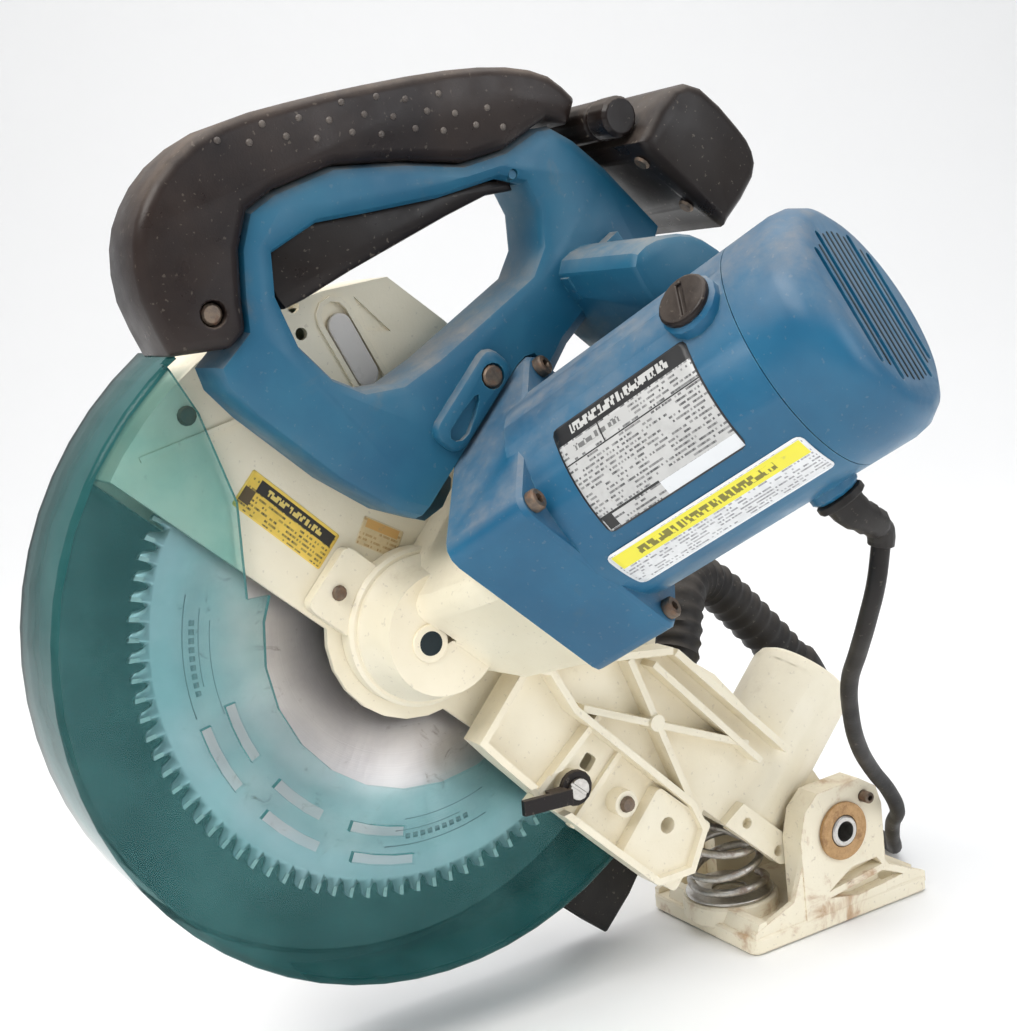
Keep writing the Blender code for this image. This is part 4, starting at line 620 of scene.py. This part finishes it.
LOOKS = [
    (CREAM_RUSTY, 0.8, ["hinge_bracket"]),
    (CREAM, 0.8, ["rear_arm", "gear_housing"]),
    (CREAM, 0.6, ["blade_bolt_cover"]),
    (TEAL, 1.0, ["motor_housing", "motor_end_cap"]),
    (TEAL_DUSTY, 1.0, ["handle_frame"]),
    (TEAL_DUSTY, 0.2, ["trigger_pin"]),
    (GRIP, 1.2, ["grip_cover"]),
    (BLACK, 0.8, ["trigger", "lamp_box", "lamp_switch_barrel", "brush_cap_front", "brush_cap_rear",
                  "guard_link"]),
    (RUBBER, 0.6, ["dust_boot", "cord_strain_relief"]),
    (STEEL, 0.25, ["hinge_shaft", "spring_seat_washer", "inner_flange", "outer_flange", "blade_bolt",
                   "link_pivot_screw", "cover_screw_front", "cover_screw_rear", "spindle"]),
    (RUSTY, 0.25, ["channel_screw", "housing_screw", "case_screw", "ear_set_screw", "flange_screw_1",
                   "flange_screw_2", "flange_screw_3", "flange_screw_4", "handle_screw", "grip_screw",
                   "lamp_screw_1", "lamp_screw_2"]),
    (BRONZE, 0.3, ["hinge_bush_right", "hinge_bush_left"]),
    (LENS, 0.3, ["lamp_lens"]),
]
for look, rounding, names in LOOKS:
    for name in names:
        refined(name, look, rounding, ROUNDED.get(name))


def guard_corners(bm):
    """Marks the corners at the rim of the guard's two walls for a wide rounding."""
    right_wall, left_wall = 0.0165, -0.0355
    weight = bm.edges.layers.float.new("bevel_weight_edge")
    centre = at_head(0, 0, 0)
    for edge in bm.edges:
        ends = [vert.co - centre for vert in edge.verts]
        at_rim = all(abs(end.yz.length - GUARD_R * MM) < 0.0012 for end in ends)
        level = abs(ends[0].x - ends[1].x) < 0.0002
        if at_rim and level and (ends[0].x > right_wall or ends[0].x < left_wall):
            edge[weight] = 1.0


def make_guard():
    """The clear guard, with wide rounded outer corners."""
    guard = refined("lower_guard", GUARD, 0.5, guard_corners)
    wide = guard.modifiers.new("round_corners", "BEVEL")
    wide.width = 3.4 * MM
    wide.segments = 4
    wide.limit_method = "WEIGHT"
    wide.use_clamp_overlap = True
    guard.modifiers.move(len(guard.modifiers) - 1, 0)


make_guard()


# ---------------------------------------------------------------- pieces with finer shapes of their own
def new_piece(name, bm, mat, body, stands_for=(), smooth=35):
    """A piece of its own, riding a body if one is named, in place of CAD nodes."""
    mesh = bpy.data.meshes.new(name)
    bmesh.ops.recalc_face_normals(bm, faces=bm.faces[:])
    bm.to_mesh(mesh)
    bm.free()
    mesh.materials.append(mat)
    smooth_shade(mesh, smooth)
    obj = link_object(name, mesh)
    if stands_for:
        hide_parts(*stands_for)
    if body:
        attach(obj, body)
    return obj


def directions(line):
    """Which way the line runs at each of its points."""
    last = len(line) - 1
    return [(line[min(i + 1, last)] - line[max(i - 1, 0)]).normalized() for i in range(last + 1)]


def swept_tube(line, ways, radii, side, sides):
    """A tube along the line, closed at both ends, with a direction and a radius for each point."""
    bm = bmesh.new()
    rings = []
    for here, ahead, radius in zip(line, ways, radii):
        side = (side - ahead * side.dot(ahead)).normalized()
        other = ahead.cross(side)
        ring = []
        for k in range(sides):
            turn = 2 * math.pi * k / sides
            ring.append(bm.verts.new(here + (side * math.cos(turn) + other * math.sin(turn)) * radius))
        rings.append(ring)
    for low, high in zip(rings, rings[1:]):
        for k in range(sides):
            j = (k + 1) % sides
            bm.faces.new((low[k], low[j], high[j], high[k]))
    bm.faces.new(list(reversed(rings[0])))
    bm.faces.new(rings[-1])
    return bm


def make_spring():
    """Nine turns of round wire from the bracket's seat into the arm's tube."""
    turns, per_turn, coil_r, wire_r = 9, 30, 19.4, 2.1
    low = Vector((0, -41.0, 20.6))
    mouth, top = at_head(0, 222, 8) / MM, at_head(0, 222, 62) / MM
    inward = (top - mouth).normalized()
    bend = 31.0
    total = bend + (top - mouth).length
    middle = []
    count = turns * per_turn
    for i in range(count + 1):
        reach = total * i / count
        if reach < bend:
            v = reach / bend
            first, second = low + Vector((0, 0, 11)), mouth - inward * 11
            middle.append((1 - v) ** 3 * low + 3 * (1 - v) ** 2 * v * first
                          + 3 * (1 - v) * v ** 2 * second + v ** 3 * mouth)
        else:
            middle.append(mouth + inward * (reach - bend))
    wire = []
    for i, (here, ahead) in enumerate(zip(middle, directions(middle))):
        side = Vector((0, ahead.z, -ahead.y))
        turn = 2 * math.pi * i / per_turn
        wire.append((here + (side * math.cos(turn) + Vector((1, 0, 0)) * math.sin(turn)) * coil_r) * MM)
    ways = directions(wire)
    tube = swept_tube(wire, ways, [wire_r * MM] * len(wire), ways[0].orthogonal(), 12)
    spring = new_piece("fine_return_spring", tube, SPRING, None, ["return_spring"], 60)
    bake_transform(spring)


def make_hose():
    """The ribbed dust hose, ribs a few millimetres apart, with a plain cuff round its open end."""
    route = [(-14, 135.2, 50), (-14.5, 148, 53), (-17, 156, 65), (-22, 154, 80),
             (-30, 151, 97), (-41, 156, 112), (-49, 171, 121), (-51, 192, 122.4),
             (-51.5, 214, 121), (-52, 238, 119), (-52, 258, 116), (-52, 276, 110)]
    route = [Vector(place) for place in route]
    ends = [route[0] * 2 - route[1]] + route + [route[-1] * 2 - route[-2]]
    line = finer(ends, 10)[10:-10]
    count = len(line) - 1
    radii = []
    for i in range(count + 1):
        if i < 4:
            radius = 13.0
        elif i > count - 13:
            radius = 15.0 if i > count - 12 else 13.6
        else:
            radius = 12.9 - 1.3 * (0.5 - 0.5 * math.cos(2 * math.pi * i / 4)) ** 0.6
        radii.append(radius * MM)
    line = [at_head(*p) for p in line]
    ways = directions(line)
    inward = (line[-2] - line[-1]).normalized()
    for depth, radius in ((0.0, 13.8), (0.0, 10.4), (4.0, 10.2), (16.0, 10.0)):
        line.append(line[count] + inward * depth * MM)
        radii.append(radius * MM)
        ways.append(ways[count])
    tube = swept_tube(line, ways, radii, Vector((1, 0, 0)), 28)
    new_piece("fine_dust_hose", tube, RUBBER, "head", ["dust_hose"], 50)


def blade_point(radius, turn, x=0.0):
    """A place on the blade, at a radius, an angle and a distance to the side of its middle plane."""
    return at_head(x, radius * math.cos(turn), radius * math.sin(turn))


def make_blade():
    """A blade with round gullets between its teeth, and a carbide tip on each tooth.

    A tooth's profile is (how far under the tips' circle, share of the pitch from its own face).
    """
    bm = bmesh.new()
    pitch = 2 * math.pi / BLADE_TEETH
    profile = [(0.0, 0.0), (-0.5, 0.22), (-1.9, 0.44), (-4.6, 0.52), (-6.6, 0.62), (-7.2, 0.74),
               (-6.4, 0.87), (-4.4, 0.95)]
    bore_r, rim_r = 14.0, BLADE_R - 9.5
    plate_thickness, tip_half = 2.2, 1.6
    inner = [bm.verts.new(blade_point(bore_r, -k * pitch)) for k in range(BLADE_TEETH)]
    rim = [bm.verts.new(blade_point(rim_r, -k * pitch)) for k in range(BLADE_TEETH)]
    tips = [[bm.verts.new(blade_point(BLADE_R + drop, -(k + share) * pitch)) for drop, share in profile]
            for k in range(BLADE_TEETH)]
    for k in range(BLADE_TEETH):
        j = (k + 1) % BLADE_TEETH
        bm.faces.new((inner[k], inner[j], rim[j], rim[k]))
        bm.faces.new([rim[k], rim[j], tips[j][0]] + list(reversed(tips[k])))
    blade = new_piece("fine_saw_blade", bm, BLADE, "spindle", ["saw_blade"], 20)
    thicken(blade, plate_thickness).offset = 0.0
    bm = bmesh.new()
    for k in range(BLADE_TEETH):
        face = -(k - 0.02) * pitch
        back = -(k + 0.20) * pitch
        lean = 0.10 * pitch if k % 2 else -0.02 * pitch
        outline = [(BLADE_R - 0.02, face), (BLADE_R - 0.35, back), (BLADE_R - 4.6, back + lean * 0.3),
                   (BLADE_R - 4.6, face + lean * 0.2)]
        low, high = ([bm.verts.new(blade_point(radius, turn, x)) for radius, turn in outline]
                     for x in (-tip_half, tip_half))
        bm.faces.new(low)
        bm.faces.new(list(reversed(high)))
        for a in range(4):
            b = (a + 1) % 4
            bm.faces.new((low[a], low[b], high[b], high[a]))
    new_piece("blade_tips", bm, TIPS, "spindle", smooth=20)


def make_blade_marks():
    """Grey arcs and rows of small blocks on the blade in place of its print."""
    bm = bmesh.new()
    steps, side = 10, 1.14

    def band(low_r, high_r, start, length, x):
        rows = []
        for radius in (low_r, high_r):
            rows.append([bm.verts.new(blade_point(radius, math.radians(start + length * k / steps), x))
                         for k in range(steps + 1)])
        for k in range(steps):
            bm.faces.new((rows[0][k], rows[0][k + 1], rows[1][k + 1], rows[1][k]))

    for start in (205, 300, 25, 115):
        for k, (low_r, high_r, length) in enumerate(((104, 104.5, 30), (97, 97.4, 20), (92, 92.4, 26))):
            for x in (-side, side):
                band(low_r, high_r, start + 3 * k, length, x)
        for k in range(9):
            band(99, 101.5, start + 6 + 2.2 * k, 1.4, side)
    thicken(new_piece("blade_marks", bm, INK, "spindle", smooth=20), 0.04)


make_spring()
make_hose()
make_blade()
make_blade_marks()


# ---------------------------------------------------------------- labels
def between(tree, value, low, high):
    return maths(tree, "MULTIPLY", maths(tree, "GREATER_THAN", value, low),
                 maths(tree, "LESS_THAN", value, high))


def print_material(name, paper, rows, dash, ink, areas, edge):
    """A used printed label: rows of small bars in place of text, coloured areas and a border.

    Each area is ((left, right, top, bottom), colour, colour of its larger bars or None) and edge is
    (width across, width down, colour), all as shares of the label.
    """
    mat, tree, shader = fresh_material(name)
    spot = add(tree, "SeparateXYZ", Vector=add(tree, "TexCoord").outputs["UV"])
    u, v = spot.outputs["X"], spot.outputs["Y"]
    row = maths(tree, "FLOOR", maths(tree, "MULTIPLY", v, rows))
    within = maths(tree, "FRACT", maths(tree, "MULTIPLY", v, rows))
    tall = between(tree, within, 0.3, 0.78)
    column = maths(tree, "FLOOR", maths(tree, "MULTIPLY", u, dash))
    cell = add(tree, "CombineXYZ", X=column, Y=row, Z=1.0).outputs["Vector"]
    letter = add(tree, "TexWhiteNoise", Vector=cell).outputs["Value"]
    group = maths(tree, "FLOOR", maths(tree, "MULTIPLY", u, dash / 7))
    word = add(tree, "CombineXYZ", X=group, Y=row, Z=5.0).outputs["Vector"]
    keep = maths(tree, "GREATER_THAN", add(tree, "TexWhiteNoise", Vector=word).outputs["Value"], 0.24)
    mark = maths(tree, "MULTIPLY", maths(tree, "MULTIPLY", tall, keep),
                 maths(tree, "GREATER_THAN", letter, 0.3))
    mark = maths(tree, "MULTIPLY", mark, span(tree, letter, 0.3, 1.0, 0.45, 0.95, False))
    dirt = noise(tree, 90, 5, 0.7)
    colour = blend_colour(tree, span(tree, dirt, 0.35, 0.7, 0.0, 0.5), rgba(paper),
                          rgba(tuple(c * 0.72 for c in paper)))
    colour = blend_colour(tree, mark, colour, rgba(ink))

    for (left, right, top, bottom), tint, text in areas:
        wide, high = right - left, bottom - top
        box = maths(tree, "MULTIPLY", between(tree, u, left, right), between(tree, v, top, bottom))
        fill = rgba(tint)
        if text:
            bars = maths(tree, "MULTIPLY", between(tree, v, top + high * 0.25, top + high * 0.75),
                         maths(tree, "GREATER_THAN", letter, 0.4))
            bars = maths(tree, "MULTIPLY", bars, between(tree, u, left + wide * 0.12, left + wide * 0.85))
            fill = blend_colour(tree, maths(tree, "MULTIPLY", bars, 0.85), rgba(tint), rgba(text))
        colour = blend_colour(tree, box, colour, fill)
    width_u, width_v, tint = edge
    inside = maths(tree, "MULTIPLY", between(tree, u, width_u, 1 - width_u),
                   between(tree, v, width_v, 1 - width_v))
    colour = blend_colour(tree, maths(tree, "SUBTRACT", 1.0, inside), colour, rgba(tint))
    scuff = span(tree, noise(tree, 160, 6, 0.75, twist=0.5), 0.62, 0.72, 0.0, 0.45)
    colour = blend_colour(tree, scuff, colour, rgba((0.30, 0.27, 0.23)))
    feed(shader, Base_Color=colour, Roughness=span(tree, dirt, 0.3, 0.7, 0.32, 0.55),
         Normal=bumped(tree, [(noise(tree, 120, 3), 0.08, 0.0004)]))
    return mat


def label_sheet(name, mat, place, across, down, corner):
    """A rounded sheet. place(u, v) gives its points, across and down its size in millimetres."""
    columns, rows = 24, 14
    bm = bmesh.new()
    uv = bm.loops.layers.uv.new("UVMap")
    lines = []
    for j in range(rows + 1):
        v = 0.5 - 0.5 * math.cos(math.pi * j / rows)
        depth = min(v, 1 - v) * down
        inset = corner - math.sqrt(max(corner ** 2 - (corner - min(depth, corner)) ** 2, 0.0))
        share = inset / across
        lines.append([(share + (1 - 2 * share) * i / columns, v) for i in range(columns + 1)])
    verts = [[bm.verts.new(place(u, v)) for u, v in line] for line in lines]
    for j in range(rows):
        for i in range(columns):
            face = bm.faces.new((verts[j][i], verts[j][i + 1], verts[j + 1][i + 1], verts[j + 1][i]))
            for loop, (a, b) in zip(face.loops, ((j, i), (j, i + 1), (j + 1, i + 1), (j + 1, i))):
                loop[uv].uv = lines[a][b]
    thicken(new_piece(name, bm, mat, "head", smooth=80), 0.12)


def on_barrel(first, last, low, high):
    """A label round the motor's barrel, between two angles in degrees and two places along its shaft."""
    radius = 50.22

    def place(u, v):
        turn = math.radians(first + (last - first) * v)
        return MOTOR @ Vector((radius * math.cos(turn), radius * math.sin(turn), low + (high - low) * u))

    return place


def on_case(corner, along, down):
    """A flat label on the case's face. corner, along and down are (b, u) in millimetres."""
    def place(u, v):
        return at_head(CASE_FACE + 0.2, corner[0] + along[0] * u + down[0] * v,
                       corner[1] + along[1] * u + down[1] * v)

    return place


def make_labels():
    near_black, mid_grey = (0.02, 0.02, 0.02), (0.50, 0.50, 0.49)
    plate = print_material(
        "rating_plate_print", (0.56, 0.56, 0.55), 26, 88, (0.05, 0.05, 0.055),
        [((0.0, 1.0, 0.0, 0.17), (0.012, 0.012, 0.013), (0.62, 0.62, 0.60)),
         ((0.05, 0.52, 0.19, 0.30), mid_grey, (0.10, 0.10, 0.10)),
         ((0.0, 1.0, 0.34, 0.352), near_black, None),
         ((0.30, 0.31, 0.17, 0.35), near_black, None),
         ((0.0, 0.45, 0.84, 0.86), near_black, None),
         ((0.02, 0.09, 0.86, 0.97), near_black, None),
         ((0.45, 1.0, 0.86, 1.0), (0.74, 0.76, 0.78), None)],
        (0.012, 0.015, (0.03, 0.03, 0.032)))
    label_sheet("rating_plate", plate, on_barrel(201.5, 256, 138, 205), 67, 47.5, 2.5)
    caution = print_material(
        "motor_caution_print", (0.80, 0.81, 0.82), 13, 120, (0.20, 0.20, 0.22),
        [((0.02, 0.98, 0.07, 0.40), (0.86, 0.78, 0.06), (0.10, 0.09, 0.03))],
        (0.012, 0.05, (0.84, 0.85, 0.86)))
    label_sheet("motor_caution_label", caution, on_barrel(264.5, 291.5, 128, 222.5), 94.5, 23.6, 3.0)
    yellow = print_material(
        "case_caution_print", (0.88, 0.62, 0.10), 9, 64, (0.06, 0.05, 0.03),
        [((0.0, 1.0, 0.0, 0.09), (0.88, 0.62, 0.10), None),
         ((0.12, 0.97, 0.08, 0.40), (0.025, 0.022, 0.02), (0.88, 0.70, 0.20)),
         ((0.02, 0.13, 0.42, 0.80), (0.10, 0.07, 0.03), None)],
        (0.02, 0.04, (0.90, 0.66, 0.14)))
    label_sheet("case_caution_label", yellow, on_case((-103.3, 14.4), (49.5, -1.6), (0.2, -17.6)),
                49.5, 17.6, 1.0)
    faded = print_material(
        "faded_print", (0.78, 0.62, 0.36), 6, 30, (0.50, 0.30, 0.12),
        [((0.1, 0.9, 0.05, 0.35), (0.72, 0.42, 0.14), None)],
        (0.02, 0.03, (0.80, 0.68, 0.46)))
    label_sheet("faded_case_label", faded, on_case((-49.0, 26.5), (20.5, 4.5), (3.2, -12.5)),
                21, 13, 1.0)


make_labels()


# ---------------------------------------------------------------- small details
def dome(bm, centre, normal, radius, height):
    """A low round pip on a surface."""
    sides, rings = 10, 3
    side = normal.orthogonal().normalized()
    other = normal.cross(side)
    last = None
    for j in range(rings):
        rise = math.pi / 2 * j / rings
        ring = []
        for k in range(sides):
            turn = 2 * math.pi * k / sides
            outward = (side * math.cos(turn) + other * math.sin(turn)) * radius * math.cos(rise)
            ring.append(bm.verts.new(centre + outward + normal * height * math.sin(rise)))
        if last:
            for k in range(sides):
                m = (k + 1) % sides
                bm.faces.new((last[k], last[m], ring[m], ring[k]))
        else:
            bm.faces.new(list(reversed(ring)))
        last = ring
    top = bm.verts.new(centre + normal * height)
    for k in range(sides):
        bm.faces.new((last[k], last[(k + 1) % sides], top))


def make_grip_pips():
    """Columns of pips on both sides of the grip's top bar, each set on the surface and facing out of it."""
    shape = bmesh.new()
    shape.from_mesh(bpy.data.objects["fine_grip_cover"].data)
    cover = BVHTree.FromBMesh(shape)
    first_b, grip_x = -204, 43
    bm = bmesh.new()
    for side in (1, -1):
        for column in range(10):
            b = first_b + 10.3 * column
            for row in range(4 - abs(column - 3) // 2):
                u = 99 + 0.93 * (b - first_b) + 9 * row - (2 if column % 2 else 0)
                start = at_head(grip_x + side * 60, b, u)
                towards = HEAD.to_3x3() @ Vector((-side, 0, 0))
                spot, normal, face, far = cover.ray_cast(start, towards)
                if spot is not None and normal.dot(towards) < -0.8:
                    dome(bm, spot, normal, 1.45 * MM, 0.9 * MM)
    new_piece("grip_pips", bm, PIP, "head", smooth=60)


make_grip_pips()


def prism_solid(loop, low, high):
    """A closed solid over a loop of (b, u) in millimetres, between two x."""
    bm = bmesh.new()
    bottom = [bm.verts.new(at_head(low, b, u)) for b, u in loop]
    top = [bm.verts.new(at_head(high, b, u)) for b, u in loop]
    bm.faces.new(bottom)
    bm.faces.new(list(reversed(top)))
    for k in range(len(loop)):
        j = (k + 1) % len(loop)
        bm.faces.new((bottom[k], top[k], top[j], bottom[j]))
    return bm


def circle_loop(centre, radius, sides):
    b, u = centre
    return [(b + radius * math.cos(2 * math.pi * k / sides), u + radius * math.sin(2 * math.pi * k / sides))
            for k in range(sides)]


def pill_loop(start, end, radius):
    """The outline of a slot with round ends."""
    sides = 10
    lean = math.atan2(end[1] - start[1], end[0] - start[0])
    loop = []
    for centre, first in ((start, lean + math.pi / 2), (end, lean - math.pi / 2)):
        for k in range(sides + 1):
            turn = first + math.pi * k / sides
            loop.append((centre[0] + radius * math.cos(turn), centre[1] + radius * math.sin(turn)))
    return loop


def make_case():
    """The blade's case with the pale slide bar in its slot."""
    refined("blade_case", CREAM, 0.5)
    slide = prism_solid(pill_loop((-106, 86.6), (-84, 77.4), 5.6), CASE_FACE - 1.5, CASE_FACE + 1.6)
    soften(new_piece("case_slide_bar", slide, PALE, "head"), 0.9, 3)


def make_hub_hole():
    """A raised ring on the gear housing's hub with a dark disc of painted shade in it, in place of its
    hole.
    """
    ring = prism_solid(circle_loop(HUB_HOLE, 8.4, 36), HUB_FACE, HUB_FACE + 1.8)
    soften(new_piece("hub_ring", ring, CREAM, "head"), 0.7, 3)
    # The dark disc is painted shade for the hole's inside.
    disc = prism_solid(circle_loop(HUB_HOLE, 5.4, 28), HUB_FACE + 1.6, HUB_FACE + 1.88)
    soften(new_piece("hub_hole", disc, PAINTED_OPENING_SHADE, "head"), 0.05, 1)


def make_vents():
    """Thin dark strips of painted shade between the end cap's cut slots, a hair above its face, in place of
    more slots.
    """
    cap_r, margin, half_width = 38.0, 6, 0.95
    bm = bmesh.new()
    turn = MOTOR @ Matrix.Rotation(math.radians(-45), 4, "Z")
    for across in (-22.0, -11.0, -5.5, 0.0, 5.5, 11.0, 22.0):
        half = math.sqrt(cap_r ** 2 - across ** 2) - margin
        outline = pill_loop((-half, across), (half, across), half_width)
        bm.faces.new([bm.verts.new(turn @ Vector((x, y, CAP_FACE + 0.06))) for x, y in outline])
    thicken(new_piece("cap_vents", bm, PAINTED_OPENING_SHADE, "head"), 0.1)


make_case()
make_hub_hole()
make_vents()

INNER = {"stator": COPPER, "armature": COPPER, "commutator": COPPER, "carbon_brush_front": CARBON,
         "carbon_brush_rear": CARBON, "cooling_fan": BLACK, "pinion": STEEL, "driven_gear": STEEL,
         "spindle_bearing": STEEL, "motor_front_bearing": STEEL, "motor_rear_bearing": STEEL}
for name, look in INNER.items():
    obj = bpy.data.objects[name]
    for slot in obj.material_slots:
        slot.material = look


# ---------------------------------------------------------------- stage and lights
def backdrop_material():
    mat, tree, shader = fresh_material("pale_studio")
    colour = blend_colour(tree, noise(tree, 2, 2), rgba((0.88, 0.88, 0.88)), rgba((0.90, 0.90, 0.90)))
    feed(shader, Base_Color=colour)
    shader.inputs["Roughness"].default_value = 0.9
    return mat


def make_stage():
    """A floor that curves up into a back wall, turned to face the camera, a hair under the saw."""
    front, curve, back, top, half_width, drop = -3.0, 1.2, 2.4, 4.0, 4.0, 0.0006
    bm = bmesh.new()
    profile = [(front, -drop), (curve, -drop)]
    for k in range(1, 13):
        turn = math.pi / 2 * k / 12
        profile.append((curve + curve * math.sin(turn), curve - curve * math.cos(turn) - drop))
    profile.append((back, top))
    rows = []
    for side in (-half_width, half_width):
        rows.append([bm.verts.new((side, y, z)) for y, z in profile])
    for low, high in zip(range(len(profile)), range(1, len(profile))):
        bm.faces.new((rows[0][low], rows[1][low], rows[1][high], rows[0][high]))
    mesh = bpy.data.meshes.new("studio_floor")
    bm.to_mesh(mesh)
    bm.free()
    mesh.polygons.foreach_set("use_smooth", [True] * len(mesh.polygons))
    mesh.materials.append(backdrop_material())
    floor = link_object("studio_floor", mesh)
    floor.matrix_world = Matrix.Rotation(math.atan2(CAMERA_BACK[0], -CAMERA_BACK[1]), 4, "Z")


def area_light(name, place, aim, size, power, colour):
    data = bpy.data.lights.new(name, "AREA")
    data.shape = "RECTANGLE"
    data.size, data.size_y = size
    data.energy = power
    data.color = colour
    light = link_object(name, data)
    direction = Vector(aim) - Vector(place)
    turn = direction.to_track_quat("-Z", "Y").to_matrix().to_4x4()
    light.matrix_world = Matrix.Translation(place) @ turn


def make_lights():
    """A key light from the front, a wide one overhead, a cooler one from the side, and a pale sky."""
    aim = (0, -0.1, 0.2)
    area_light("key_light", (0.5, -1.6, 1.9), aim, (1.6, 1.0), 40, (1.0, 0.98, 0.95))
    area_light("top_light", (-0.2, 0.1, 2.1), aim, (2.2, 2.2), 32, (1.0, 1.0, 1.0))
    area_light("side_light", (1.9, 0.9, 1.1), aim, (1.2, 1.4), 15, (0.94, 0.97, 1.0))
    world = bpy.data.worlds.new("studio_air")
    bpy.context.scene.world = world
    world.use_nodes = True
    world.node_tree.nodes["Background"].inputs["Color"].default_value = (0.95, 0.97, 1.0, 1)
    world.node_tree.nodes["Background"].inputs["Strength"].default_value = 0.42


make_stage()
make_lights()
bpy.context.scene.view_settings.view_transform = "Standard"
